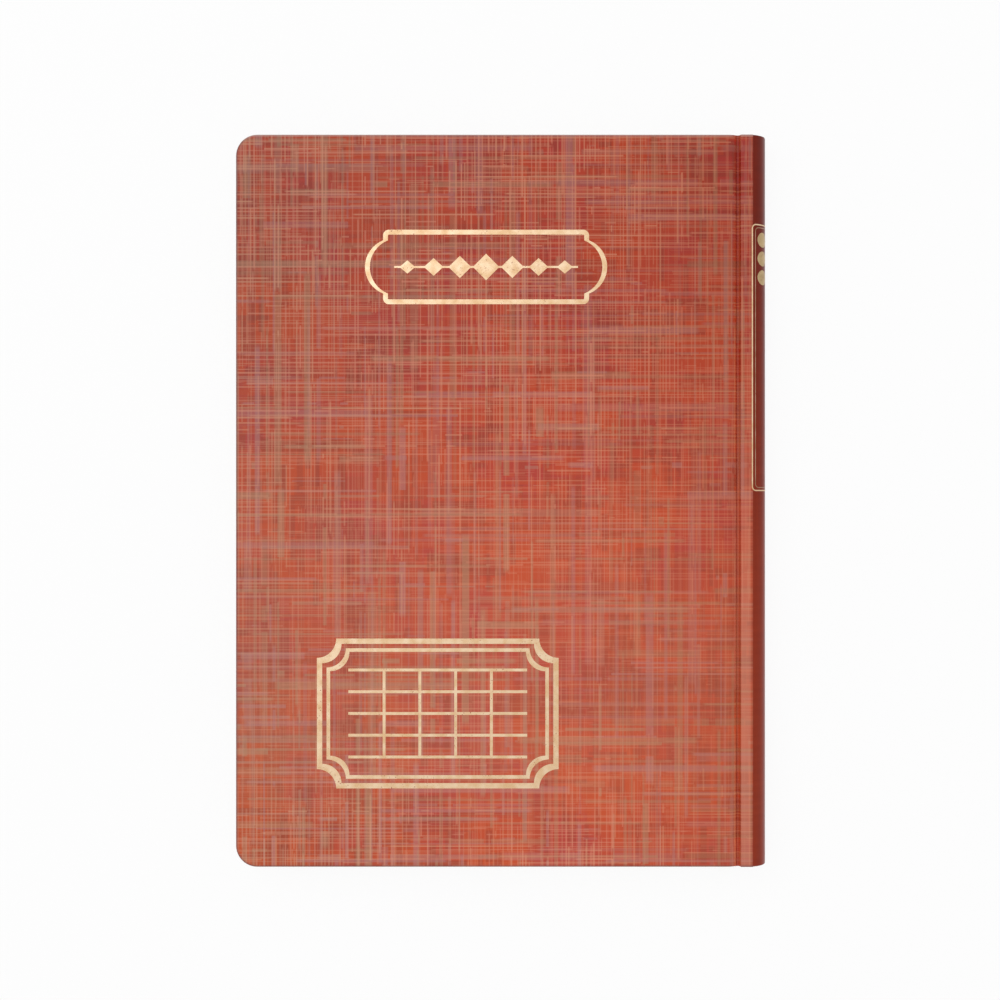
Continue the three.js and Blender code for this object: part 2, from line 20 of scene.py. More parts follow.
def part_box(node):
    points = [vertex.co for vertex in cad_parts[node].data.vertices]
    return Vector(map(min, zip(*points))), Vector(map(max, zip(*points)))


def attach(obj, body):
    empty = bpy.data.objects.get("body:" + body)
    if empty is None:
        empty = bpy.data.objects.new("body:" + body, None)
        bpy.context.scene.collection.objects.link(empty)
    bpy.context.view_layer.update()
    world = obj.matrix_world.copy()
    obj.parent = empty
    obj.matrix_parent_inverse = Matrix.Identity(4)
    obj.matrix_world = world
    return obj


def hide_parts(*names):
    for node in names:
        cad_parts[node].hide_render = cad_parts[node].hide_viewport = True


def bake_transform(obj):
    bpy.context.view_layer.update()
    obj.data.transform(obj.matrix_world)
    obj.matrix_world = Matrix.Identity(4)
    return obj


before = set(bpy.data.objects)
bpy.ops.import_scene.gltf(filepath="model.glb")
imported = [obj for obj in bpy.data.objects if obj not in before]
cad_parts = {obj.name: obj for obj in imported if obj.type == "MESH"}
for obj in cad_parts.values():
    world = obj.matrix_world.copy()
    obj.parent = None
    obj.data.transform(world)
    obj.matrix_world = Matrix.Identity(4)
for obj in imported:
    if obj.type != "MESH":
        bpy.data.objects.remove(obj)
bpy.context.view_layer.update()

MM = 0.001
NEAR = 1e-6
SMOOTH_ANGLE = math.radians(40)
FULL_TURN = 2 * math.pi
PLAN = "plan"
LOG = logging.getLogger("account_book")

Socket = bpy.types.NodeSocket
Node = bpy.types.Node
Faces = list[bmesh.types.BMFace]
Edges = list[bmesh.types.BMEdge]
Colour = tuple[float, float, float]
Pair = tuple[float, float]
Strip = tuple[float, float, float, float]
Profile = list[Pair]


def srgb(*levels: int) -> Colour:
    """Turns screen levels from 0 to 255 into the linear colour that shaders take."""
    shares = (level / 255 for level in levels)
    return tuple(s / 12.92 if s <= 0.04045 else ((s + 0.055) / 1.055) ** 2.4 for s in shares)


def half_round(centre: Pair, radii: Pair, start: float, steps: int = 6) -> Profile:
    """Points round half an ellipse, from a start angle on."""
    angles = (start + math.pi * i / steps for i in range(steps + 1))
    return [(centre[0] + radii[0] * math.cos(a), centre[1] + radii[1] * math.sin(a)) for a in angles]


class Side(Enum):
    """The two covers, by the way that their outer face looks: 1 is up."""

    FRONT = 1
    BACK = -1

    @property
    def label(self) -> str:
        """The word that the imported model's nodes begin with."""
        return self.name.lower()


@dataclass(frozen=True)
class Layout:
    """Places in the closed book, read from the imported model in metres, and two known in millimetres."""

    fore_edge: float
    board_edge: float
    spine_out: float
    half_height: float
    page_half: float
    top: float
    turn_in_face: float
    leaf_end: float
    spine_start: float = 214.0
    hinge_past_leaf: float = 0.3

    @classmethod
    def read(cls) -> "Layout":
        """Reads the places from the nodes' boxes.

        Returns:
            The layout of the closed book.
        """
        wrap_low, wrap_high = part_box("front_wrap")
        leaf_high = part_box("front_flyleaf")[1]
        return cls(
            fore_edge=wrap_low.x,
            board_edge=wrap_high.x,
            spine_out=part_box("spine_wrap")[1].x,
            half_height=wrap_high.y,
            page_half=leaf_high.y,
            top=wrap_high.z,
            turn_in_face=wrap_low.z,
            leaf_end=leaf_high.x,
        )

    @property
    def hinge_x(self) -> float:
        """The line that the covers and the leaves turn about."""
        return self.leaf_end + self.hinge_past_leaf * MM

    @property
    def hinge_mm(self) -> float:
        """The same line, counted from the covers' fore-edge in millimetres."""
        return (self.hinge_x - self.fore_edge) / MM

    @property
    def middle(self) -> float:
        """Half of the closed book's thickness."""
        return self.top / 2

    @property
    def spine_arc(self) -> tuple[float, float, float]:
        """The outside of the spine: its centre's x, its radius and half of its angle."""
        bulge = self.spine_out - self.across(self.spine_start)
        radius = (self.middle**2 + bulge**2) / (2 * bulge)
        return self.spine_out - radius, radius, math.asin(self.middle / radius)

    def across(self, millimetres: float) -> float:
        """A place counted from the covers' fore-edge, in the row frame."""
        return self.fore_edge + millimetres * MM

    def level(self, side: Side, depth: float) -> float:
        """A height in metres, from a depth in millimetres under a cover's outer face."""
        return self.top - depth * MM if side is Side.FRONT else depth * MM


LAYOUT = Layout.read()


def adds(operation: str) -> Callable[..., "Value"]:
    """Makes a method that adds a Math node.

    Args:
        operation: The node's operation.

    Returns:
        The method.
    """

    def reckon(self: "Value", other: object = 0.0) -> "Value":
        """Adds the node, with this value as its first input."""
        return self.nodes.math(operation, self, other)

    return reckon


class Value:
    """A socket that is reckoned with as a plain number: each step adds a node."""

    __add__, __sub__, __mul__, __truediv__ = map(adds, ("ADD", "SUBTRACT", "MULTIPLY", "DIVIDE"))
    __lt__, __gt__, __mod__, __abs__ = map(adds, ("LESS_THAN", "GREATER_THAN", "FLOORED_MODULO", "ABSOLUTE"))
    floor, fraction, sine, root, least, most = map(
        adds, ("FLOOR", "FRACT", "SINE", "SQRT", "MINIMUM", "MAXIMUM"),
    )

    def __init__(self, nodes: "Nodes", socket: Socket) -> None:
        """Keeps the socket, and the nodes of its tree."""
        self.nodes, self.socket = nodes, socket

    def __rsub__(self, other: float) -> "Value":
        """A plain number less this one."""
        return self.nodes.math("SUBTRACT", other, self)

    def held(self) -> "Value":
        """The same number, held between 0 and 1."""
        return self.nodes.math("ADD", self, 0.0, clamp=True)

    def over(self, low: float, high: float, start: float = 0.0, end: float = 1.0) -> "Value":
        """Maps the range from low to high on to that from start to end, held at its ends."""
        inputs = {0: self, 1: low, 2: high, 3: start, 4: end}
        return Value(self.nodes, self.nodes.add("ShaderNodeMapRange", inputs, clamp=True).outputs[0])

    def over_mm(self, low: float, high: float, start: float = 0.0, end: float = 1.0) -> "Value":
        """The same for a place, with the range from low to high in millimetres."""
        return self.over(low * MM, high * MM, start, end)


class Nodes:
    """Adds nodes to one tree and links them."""

    def __init__(self, tree: bpy.types.NodeTree) -> None:
        """Takes a tree and clears it."""
        self.tree = tree
        tree.nodes.clear()

    def add(self, kind: str, inputs: dict | None = None, **settings: object) -> Node:
        """Adds one node.

        Args:
            kind: The node's type.
            inputs: What its inputs get, by the input's name or number.
            settings: The node's own properties.

        Returns:
            The node.
        """
        node = self.tree.nodes.new(kind)
        for name, value in settings.items():
            setattr(node, name, value)
        for name, value in (inputs or {}).items():
            self.feed(node.inputs[name], value)
        return node

    def feed(self, socket: Socket, value: object) -> None:
        """Links a socket to another, or sets its value.

        Args:
            socket: The socket that takes it.
            value: A value, a socket, a colour or a plain number.
        """
        value = value.socket if isinstance(value, Value) else value
        if isinstance(value, bpy.types.NodeSocket):
            self.tree.links.new(value, socket)
        else:
            short = socket.type == "RGBA" and len(value) == 3
            socket.default_value = (*value, 1.0) if short else value

    def math(self, operation: str, first: object, second: object, clamp: bool = False) -> Value:
        """Adds a Math node."""
        node = self.add("ShaderNodeMath", {0: first, 1: second}, operation=operation, use_clamp=clamp)
        return Value(self, node.outputs[0])

    def blend(self, factor: object, first: object, second: object, mode: str = "MIX") -> Socket:
        """Mixes the second colour over the first, as far as the factor says."""
        settings = {"data_type": "RGBA", "blend_type": mode, "clamp_factor": True}
        return self.add("ShaderNodeMix", {0: factor, 6: first, 7: second}, **settings).outputs[2]

    def noise(self, vector: object, scale: object, detail: float = 2.0, roughness: float = 0.5) -> Value:
        """Reads a noise pattern of some scale, octaves and roughness."""
        inputs = {"Vector": vector, "Scale": scale, "Detail": detail, "Roughness": roughness}
        return Value(self, self.add("ShaderNodeTexNoise", inputs).outputs["Fac"])

    def stretch(self, vector: object, scale: Colour) -> Socket:
        """Multiplies a vector part by part."""
        return self.add("ShaderNodeVectorMath", {0: vector, 1: scale}, operation="MULTIPLY").outputs[0]

    def join(self, *parts: object) -> Socket:
        """Makes a vector of three numbers."""
        return self.add("ShaderNodeCombineXYZ", dict(enumerate(parts))).outputs[0]

    def parts(self, vector: object) -> list[Value]:
        """Splits a vector into its three numbers."""
        return [Value(self, part) for part in self.add("ShaderNodeSeparateXYZ", {0: vector}).outputs]

    def chance(self, *numbers: object) -> list[Value]:
        """Three numbers from 0 to 1 that stay the same for the same three inputs."""
        drawn = self.add("ShaderNodeTexWhiteNoise", {"Vector": self.join(*numbers)}, noise_dimensions="3D")
        return self.parts(drawn.outputs["Color"])

    def bump(self, height: Value, strength: float, distance: float) -> Socket:
        """Turns a height of some size in millimetres into a normal."""
        inputs = {"Height": height, "Strength": strength, "Distance": distance * MM}
        return self.add("ShaderNodeBump", inputs).outputs[0]

    @cached_property
    def plan(self) -> Socket:
        """The piece's own map: across and along the closed book, in metres."""
        return self.add("ShaderNodeUVMap", uv_map=PLAN).outputs[0]

    @cached_property
    def place(self) -> Socket:
        """The piece's place in the row frame."""
        return self.add("ShaderNodeTexCoord").outputs["Object"]


class Group(Nodes):
    """A node group in the making, with numbers for its outputs."""

    def __init__(self, name: str, **inputs: str) -> None:
        """Starts the group.

        Args:
            name: Its name.
            inputs: The kind of each input, by its name.
        """
        super().__init__(bpy.data.node_groups.new(name, "ShaderNodeTree"))
        for label, kind in inputs.items():
            self.tree.interface.new_socket(name=label, in_out="INPUT", socket_type=f"NodeSocket{kind}")
        given = self.tree.nodes.new("NodeGroupInput")
        self.given = [Value(self, given.outputs[label]) for label in inputs]

    def close(self, **outputs: Value) -> bpy.types.NodeTree:
        """Gives the group its outputs.

        Args:
            outputs: The number that each puts out, by its name.

        Returns:
            The group.
        """
        for label in outputs:
            self.tree.interface.new_socket(name=label, in_out="OUTPUT", socket_type="NodeSocketFloat")
        out = self.tree.nodes.new("NodeGroupOutput")
        for label, value in outputs.items():
            self.feed(out.inputs[label], value)
        return self.tree


@dataclass(frozen=True)
class PrintedThreads:
    """Straight printed threads with square ends, that gather in places."""

    stagger: float = 31.0
    crowds: Pair = (42.0, 24.0)
    crowd_edge: Pair = (0.36, 0.62)
    crowd_fill: Pair = (0.35, 1.3)
    widths: Pair = (0.5, 1.4)
    weights: Pair = (0.45, 1.0)
    end: float = 0.03
    other_seed: float = 3.3
    weight_draw: float = 7.31
    tint_draw: float = 5.17

    def build(self) -> bpy.types.NodeTree:
        """Builds the group.

        Returns:
            The group, which masks the threads and picks a tint for each.
        """
        labels = ("Across", "Along", "Pitch", "Length", "Fill", "Width", "Edge", "Seed")
        group = Group("printed_threads", **dict.fromkeys(labels, "Float"))
        across, along, pitch, length, fill, broad, edge, seed = group.given
        column = across / pitch
        index = column.floor()
        row = along / length + group.chance(index, seed, 0.5)[0] * self.stagger
        cell = row.floor()
        drawn, size, aside = group.chance(index, cell, seed + self.other_seed)
        gathered = group.join(index * pitch * self.crowds[0], along * self.crowds[1], seed)
        crowd = group.noise(gathered, 1.0).over(*self.crowd_edge, *self.crowd_fill)
        width = broad * size.over(0.0, 1.0, *self.widths)
        centre = (aside - 0.5) * (1.0 - width).held() + 0.5
        off = abs(column - index - centre)
        line = ((width * 0.5 - off) / edge + 0.5).held()
        place = row - cell
        ends = place.least(1.0 - place).over(0.0, self.end)
        weight = (size * self.weight_draw).fraction().over(0.0, 1.0, *self.weights)
        mask = (line * ends * (drawn < fill * crowd) * weight).held()
        return group.close(Mask=mask, Pick=(aside * self.tint_draw).fraction())


@dataclass(frozen=True)
class PaperFibres:
    """Paper fibres: a cloudy tint and a fine felt height."""

    cloud_scale: float = 60.0
    cloud_edge: Pair = (0.3, 0.7)
    lay: Colour = (1.0, 0.45, 1.0)
    octaves: float = 3.0
    felt_roughness: float = 0.6

    def build(self) -> bpy.types.NodeTree:
        """Builds the group.

        Returns:
            The group.
        """
        group = Group("paper_fibres", Place="Vector", Grain="Float")
        place, grain = group.given
        cloud = group.noise(place, self.cloud_scale, self.octaves).over(*self.cloud_edge)
        felt = group.noise(group.stretch(place, self.lay), grain, self.octaves, self.felt_roughness)
        return group.close(Cloud=cloud, Felt=felt)


class Effects:
    """The node groups that the finishes place."""

    def __init__(self) -> None:
        """Builds each group once."""
        self.threads, self.fibres = PrintedThreads().build(), PaperFibres().build()


class Surface(Nodes):
    """A material in the making: its nodes, its shader and the shared effects."""

    def __init__(self, name: str, roughness: float, effects: Effects) -> None:
        """Starts the material.

        Args:
            name: Its name.
            roughness: The shader's roughness, where nothing else is given.
            effects: The shared node groups.
        """
        self.material = bpy.data.materials.new(name)
        self.material.use_nodes = True
        super().__init__(self.material.node_tree)
        self.effects = effects
        self.shader = self.add("ShaderNodeBsdfPrincipled", {"Roughness": roughness})
        self.add("ShaderNodeOutputMaterial", {0: self.shader.outputs[0]})

    def give(self, inputs: dict[str, object]) -> None:
        """Feeds the shader's inputs, by their names."""
        for name, value in inputs.items():
            self.feed(self.shader.inputs[name], value)

    def group(self, tree: bpy.types.NodeTree, **inputs: object) -> list[Value]:
        """Places a group, and gives what it puts out."""
        return [Value(self, socket) for socket in self.add("ShaderNodeGroup", inputs, node_tree=tree).outputs]


@dataclass(frozen=True)
class Finish:
    """What every finish has: a name, how rough it is, and its relief: strength, and height in millimetres."""

    name: str = "finish"
    roughness: float = 0.5
    relief: Pair = (0.2, 0.02)

    def material(self, effects: Effects) -> bpy.types.Material:
        """Makes the material.

        Args:
            effects: The shared node groups.

        Returns:
            The material.
        """
        on = Surface(self.name, self.roughness, effects)
        self.dress(on)
        return on.material

    def dress(self, on: Surface) -> None:
        """Adds the finish's own nodes; each finish has its own way."""
        raise NotImplementedError


@dataclass(frozen=True)
class PrintLayer:
    """One layer of printed threads: sizes in millimetres, and shares of the pitch."""

    strength: float
    pitch: float
    length: float
    fill: float
    width: float
    edge: float
    seed: float


@dataclass(frozen=True)
class CoverPrint(Finish):
    """A printed and laminated sheet: crossing threads over red, orange and brown patches, with painted light
    and shade.

    Reaches of tints are counted from the book's middle, and those of strips from the fore-edge: where
    each strip begins, is full, fades and ends.
    """

    name: str = "cover_print"
    roughness: float = 0.42
    relief: Pair = (0.25, 0.02)
    specular: float = 0.3
    crimson: Colour = srgb(177, 49, 38)
    orange: Colour = srgb(194, 64, 18)
    brown: Colour = srgb(150, 50, 27)
    tan: Colour = srgb(225, 150, 116)
    rose: Colour = srgb(225, 138, 110)
    mauve: Colour = srgb(178, 112, 107)
    drab: Colour = srgb(172, 120, 90)
    # Painted light and shade: slow tints that darken the head and the joint and make the fore-edge and the
    # tail paler.
    head: Pair = (-10.0, 100.0)
    head_painted_shade: Colour = (0.80, 0.78, 0.78)
    tail: Pair = (0.0, -130.0)
    tail_painted_light: Colour = (1.05, 1.18, 1.22)
    fore_edge: Pair = (0.0, -100.0)
    fore_edge_painted_light: Colour = (0.88, 1.02, 1.06)
    joint: Pair = (40.0, 90.0)
    joint_painted_shade: Colour = (0.92, 0.83, 0.74)
    # Painted light on the roll beside the groove, against the dark slit there, and painted shade in the
    # groove.
    roll: Strip = (206.2, 206.5, 206.9, 207.1)
    roll_painted_light: Colour = (1.28, 1.3, 1.2)
    groove: Strip = (206.8, 207.2, 208.5, 209.0)
    groove_painted_shade: Colour = (0.96, 0.7, 0.5)
    # The shoulder is rubbed pale, and the same colour is also painted light where the shoulder faces the
    # lamp.
    shoulder: Strip = (208.7, 209.3, 212.4, 213.4)
    rubbed_and_lit: Colour = srgb(214, 150, 126)
    rub_and_light: Strip = (50.0, -60.0, 0.0, 0.32)
    spine_edge: Pair = (212.9, 214.1)
    spine: Colour = srgb(134, 50, 32)
    spine_share: float = 0.6
    # Painted highlight on the head's rounded rim, and painted shade on the other rims.
    painted_highlight_rim: Colour = srgb(178, 152, 146)
    painted_shade_rim: Colour = srgb(104, 72, 70)
    lit_from: Pair = (3.0, 1.0)
    corner: float = 8.8
    rim_reach: Strip = (0.1, 1.1, 0.75, 0.0)
    rim_depth: Pair = (0.6, 0.2)
    rim_inside: float = 0.15
    clouds: Colour = (26.0, 22.0, 1.0)
    cloud_edge: Pair = (0.4, 0.6)
    pick_edge: Pair = (0.35, 0.65)
    fine: float = 2.0
    covered: float = 0.6
    sharp: Strip = (60.0, -70.0, 0.95, 0.4)
    sharp_gains: tuple[Strip, ...] = ((80.0, 140.0, 0.0, 0.2), (-105.0, -135.0, 0.0, 0.32))
    sharp_joint: Strip = (30.0, 90.0, 1.0, 0.85)
    film_scale: float = 900.0
    film: Strip = (0.3, 0.7, -0.05, 0.06)
    # From the bottom up four layers of patches, of bars and of threads, tall and wide ones in turn.
    layers: tuple[PrintLayer, ...] = (
        PrintLayer(0.62, 11.0, 34.0, 0.5, 0.8, 0.1, 2.1),
        PrintLayer(0.62, 10.0, 40.0, 0.5, 0.8, 0.1, 5.9),
        PrintLayer(0.6, 3.4, 16.0, 0.5, 0.8, 0.12, 8.4),
        PrintLayer(0.6, 3.1, 18.0, 0.5, 0.8, 0.12, 12.6),
        PrintLayer(0.62, 6.4, 80.0, 0.4, 0.38, 0.1, 21.7),
        PrintLayer(0.6, 6.8, 76.0, 0.4, 0.34, 0.1, 27.2),
        PrintLayer(0.52, 2.6, 60.0, 0.42, 0.44, 0.14, 33.9),
        PrintLayer(0.52, 2.6, 64.0, 0.42, 0.42, 0.14, 38.3),
        PrintLayer(0.58, 1.5, 56.0, 0.64, 0.36, 0.2, 44.5),
        PrintLayer(0.58, 1.45, 60.0, 0.64, 0.36, 0.2, 51.1),
        PrintLayer(0.34, 0.9, 40.0, 0.48, 0.44, 0.24, 57.8),
        PrintLayer(0.34, 0.88, 44.0, 0.48, 0.44, 0.24, 63.4),
    )

    def sharpness(self, on: Surface) -> Value:
        """How clearly the fine threads stand out: most at the head, least above the tail.

        Args:
            on: The material in the making.

        Returns:
            Their share, where the rest is an even veil.
        """
        x, y, _ = on.parts(on.plan)
        share = y.over_mm(*self.sharp)
        for gain in self.sharp_gains:
            share += y.over_mm(*gain)
        return share * x.over_mm(*self.sharp_joint)

    def lay(self, on: Surface, number: int, colour: object, sharp: Value) -> Socket:
        """Lays one layer over a colour.

        Args:
            on: The material in the making.
            number: The layer's number, counted from the bottom.
            colour: What it is laid on.
            sharp: How clearly fine threads stand out.

        Returns:
            The new colour.
        """
        layer = self.layers[number]
        x, y, _ = on.parts(on.plan)
        across, along = (x, y) if number % 2 == 0 else (y, x)
        mask, pick = on.group(
            on.effects.threads, Across=across, Along=along, Pitch=layer.pitch * MM, Length=layer.length * MM,
            Fill=layer.fill, Width=layer.width, Edge=layer.edge, Seed=layer.seed,
        )
        tints = ((self.brown, self.orange), (self.mauve, self.drab), (self.tan, self.rose))[number // 4]
        if layer.pitch < self.fine:
            veil = layer.fill * layer.width * self.covered
            mask = ((mask - veil) * sharp + veil).held()
        return on.blend(mask * layer.strength, colour, on.blend(pick.over(*self.pick_edge), *tints))

    def strip(self, x: Value, places: Strip) -> Value:
        """A mask over a strip along the joint."""
        begin, full, fade, end = map(LAYOUT.across, places)
        return x.over(begin, full) * x.over(fade, end, 1.0, 0.0)

    def painted_light_and_shade(self, on: Surface, colour: Socket) -> Socket:
        """Painted light and shade over the sheet: deeper at the head and the joint, paler at the fore-edge
        and the tail.

        Painted shade makes the groove the deepest, and painted light lightens the roll beside it.

        Args:
            on: The material in the making.
            colour: The even print.

        Returns:
            The print with painted light and shade.
        """
        x, y, _ = on.parts(on.plan)
        # Painted light and shade, laid on one tint after another.
        reach = (
            (y.over_mm(*self.head), self.head_painted_shade),
            (y.over_mm(*self.tail), self.tail_painted_light),
            (x.over_mm(*self.fore_edge), self.fore_edge_painted_light),
            (x.over_mm(*self.joint), self.joint_painted_shade),
            (self.strip(x, self.roll), self.roll_painted_light),
            (self.strip(x, self.groove), self.groove_painted_shade),
        )
        for share, tint in reach:
            colour = on.blend(share, colour, on.blend(1.0, colour, tint, "MULTIPLY"))
        return colour

    def wear_and_painted_light(self, on: Surface, colour: Socket) -> Socket:
        """What handling did, and painted light: a shoulder rubbed pale and lit, and rims with a painted
        highlight at the head and painted shade elsewhere.

        Args:
            on: The material in the making.
            colour: The print.

        Returns:
            The print, worn and with painted light and shade.
        """
        x, y, _ = on.parts(on.plan)
        # Rubbing and painted light on the shoulder.
        rub_and_light = self.strip(x, self.shoulder) * y.over_mm(*self.rub_and_light)
        colour = on.blend(rub_and_light, colour, self.rubbed_and_lit)
        shade = x.over(*map(LAYOUT.across, self.spine_edge), 0.0, self.spine_share)
        colour = on.blend(shade, colour, self.spine)
        # Painted highlight on the rim at the head, and painted shade on the rims at the fore-edge and the
        # tail.
        corner = self.corner * MM
        down = (abs(y) - (LAYOUT.half_height - corner)).most(0.0)
        out = (LAYOUT.fore_edge + corner - x).most(0.0)
        inside = corner - (down * down + out * out).root()
        head = y.over(*(LAYOUT.half_height - reach * MM for reach in self.lit_from))
        rim = on.blend(head, self.painted_shade_rim, self.painted_highlight_rim)
        away = abs(on.parts(on.place)[2] - LAYOUT.middle)
        outer = away.over(*(LAYOUT.middle - depth * MM for depth in self.rim_depth), self.rim_inside, 1.0)
        return on.blend(inside.over_mm(*self.rim_reach) * outer, colour, rim)

    def dress(self, on: Surface) -> None:
        """Lays the threads over broad clouds of red and orange, under a satin film.

        Args:
            on: The material in the making.
        """
        cloud = on.noise(on.stretch(on.plan, self.clouds), 1.0, 3.0).over(*self.cloud_edge)
        colour, sharp = on.blend(cloud, self.crimson, self.orange), self.sharpness(on)
        for number in range(len(self.layers)):
            colour = self.lay(on, number, colour, sharp)
        film = on.noise(on.plan, self.film_scale)
        low, high, smooth, rough = self.film
        # The base colour carries painted light and shade over the print.
        on.give({
            "Base Color": self.wear_and_painted_light(on, self.painted_light_and_shade(on, colour)),
            "Specular IOR Level": self.specular,
            "Roughness": film.over(low, high, self.roughness + smooth, self.roughness + rough),
            "Normal": on.bump(film, *self.relief),
        })


@dataclass(frozen=True)
class SpinePrint(Finish):
    """The dark glossy strip of the same sheet over the spine."""

    name: str = "spine_print"
    roughness: float = 0.3
    specular: float = 0.12
    coat: Pair = (0.05, 0.15)
    head: Pair = (-40.0, 100.0)
    dark: Colour = srgb(107, 24, 4)
    warm: Colour = srgb(137, 44, 20)
    lighter: Colour = (1.22, 1.3, 1.3)
    long_streaks: Colour = (500.0, 12.0, 500.0)
    cross_streaks: Colour = (40.0, 420.0, 40.0)
    long_share: float = 0.6
    streak_edge: Pair = (0.4, 0.66)
    film_scale: float = 700.0

    def dress(self, on: Surface) -> None:
        """Faint long streaks under a gloss film, darker towards the head.

        Args:
            on: The material in the making.
        """
        tone = on.blend(on.parts(on.place)[1].over_mm(*self.head), self.warm, self.dark)
        streak = on.noise(on.stretch(on.place, self.long_streaks), 1.0) * self.long_share
        cross = on.noise(on.stretch(on.place, self.cross_streaks), 1.0) * (1 - self.long_share)
        streaked = on.blend(1.0, tone, self.lighter, "MULTIPLY")
        on.give({
            "Base Color": on.blend((streak + cross).over(*self.streak_edge), tone, streaked),
            "Specular IOR Level": self.specular,
            "Coat Weight": self.coat[0],
            "Coat Roughness": self.coat[1],
            "Normal": on.bump(on.noise(on.place, self.film_scale), *self.relief),
        })


@dataclass(frozen=True)
class GoldFoil(Finish):
    """Stamped foil with pinholes where it didn't take."""

    name: str = "gold_foil"
    roughness: float = 0.32
    dull: float = 0.08
    metal: float = 0.85
    pale: Colour = srgb(224, 197, 164)
    deep: Colour = srgb(207, 171, 130)
    under: Colour = srgb(150, 70, 44)
    cloud_scale: float = 240.0
    cloud_edge: Pair = (0.35, 0.65)
    hole_scale: float = 1500.0
    hole_edge: Pair = (0.64, 0.68)
    patch_scale: float = 90.0
    patch_edge: Pair = (0.48, 0.6)
    grain_scale: float = 1800.0

    def dress(self, on: Surface) -> None:
        """Cloudy gold, bare in small specks.

        Args:
            on: The material in the making.
        """
        cloud = on.noise(on.place, self.cloud_scale, 3.0).over(*self.cloud_edge)
        holes = on.noise(on.place, self.hole_scale, 2.0, 0.6).over(*self.hole_edge)
        speck = holes * on.noise(on.place, self.patch_scale).over(*self.patch_edge)
        on.give({
            "Base Color": on.blend(speck, on.blend(cloud, self.deep, self.pale), self.under),
            "Metallic": (1.0 - speck) * self.metal,
            "Roughness": cloud.over(0.0, 1.0, self.roughness + self.dull, self.roughness),
            "Normal": on.bump(on.noise(on.place, self.grain_scale), *self.relief),
        })


@dataclass(frozen=True)
class Paper(Finish):
    """Uncoated paper or board: a cloudy tint with fibres, read on the piece's map where it bends."""

    name: str = "paper"
    roughness: float = 0.85
    relief: Pair = (0.2, 0.03)
    light: Colour = srgb(240, 235, 222)
    shade: Colour = srgb(234, 228, 212)
    fleck: Colour = srgb(205, 192, 165)
    flecks: float = 0.15
    fleck_edge: Pair = (0.56, 0.7)
    grain: float = 2600.0
    specular: float = 0.25
    mapped: bool = False

    def sheet(self, on: Surface) -> Socket:
        """The paper's own colour and relief.

        Args:
            on: The material in the making.

        Returns:
            The colour's socket.
        """
        place = on.plan if self.mapped else on.place
        cloud, felt = on.group(on.effects.fibres, Place=place, Grain=self.grain)
        on.give({"Normal": on.bump(felt, *self.relief), "Specular IOR Level": self.specular})
        mark = felt.over(*self.fleck_edge) * self.flecks
        return on.blend(mark, on.blend(cloud, self.light, self.shade), self.fleck)

    def dress(self, on: Surface) -> None:
        """Plain paper."""
        on.give({"Base Color": self.sheet(on)})


@dataclass(frozen=True)
class LedgerPage(Paper):
    """Account paper: blue rows, a head rule and red money columns, with nothing written in them."""

    name: str = "ledger_page"
    light: Colour = srgb(246, 243, 233)
    shade: Colour = srgb(242, 238, 226)
    mapped: bool = True
    blue: Colour = srgb(150, 176, 196)
    red: Colour = srgb(206, 120, 112)
    page_start: float = 6.5
    page_end: float = 210.0
    row_pitch: float = 8.0
    row_line: float = 0.28
    row_spare: float = 0.4
    title_row: float = 12.0
    double_rule: float = 0.8
    head_margin: float = 32.0
    foot_margin: float = 14.0
    side_margin: float = 9.0
    gutter_margin: float = 34.0
    columns: tuple[float, ...] = (22.0, 50.0, 114.0, 116.5, 140.0, 142.5, 168.0)
    column_half: float = 0.18
    rule_half: float = 0.2
    aged_edge: float = 4.0
    aged: float = 0.35

    @staticmethod
    def lines(place: Value, middles: list[float], half: float) -> Value:
        """A mask over lines at some places, whose half width is in millimetres."""
        return reduce(Value.most, (abs(place - middle) < half * MM for middle in middles))

    def dress(self, on: Surface) -> None:
        """Rules the page inside its margins.

        Args:
            on: The material in the making.
        """
        x, y, _ = on.parts(on.plan)
        head = LAYOUT.page_half - self.head_margin * MM
        foot = self.foot_margin * MM - LAYOUT.page_half
        titles = head + self.title_row * MM
        left = LAYOUT.across(self.page_start + self.side_margin)
        right = LAYOUT.across(self.page_end - self.gutter_margin)
        in_width = (x > left) * (x < right)
        pitch = self.row_pitch * MM
        step = (y - head) % pitch
        rows = step.least(pitch - step) < self.row_line / 2 * MM
        in_rows = (y < head + self.row_spare * MM) * (y > foot)
        colour = on.blend(rows * in_rows * in_width, self.sheet(on), self.blue)
        columns = [LAYOUT.across(self.page_start + column) for column in self.columns]
        upright = self.lines(x, columns, self.column_half) * (y < titles) * (y > foot)
        rules = [titles, head, head + self.double_rule * MM, foot]
        level = self.lines(y, rules, self.rule_half) * in_width
        colour = on.blend(upright.most(level), colour, self.red)
        edge = LAYOUT.page_half - self.aged_edge * MM
        aged = abs(y).over(edge, LAYOUT.page_half, 0.0, self.aged)
        on.give({"Base Color": on.blend(aged, colour, self.fleck)})


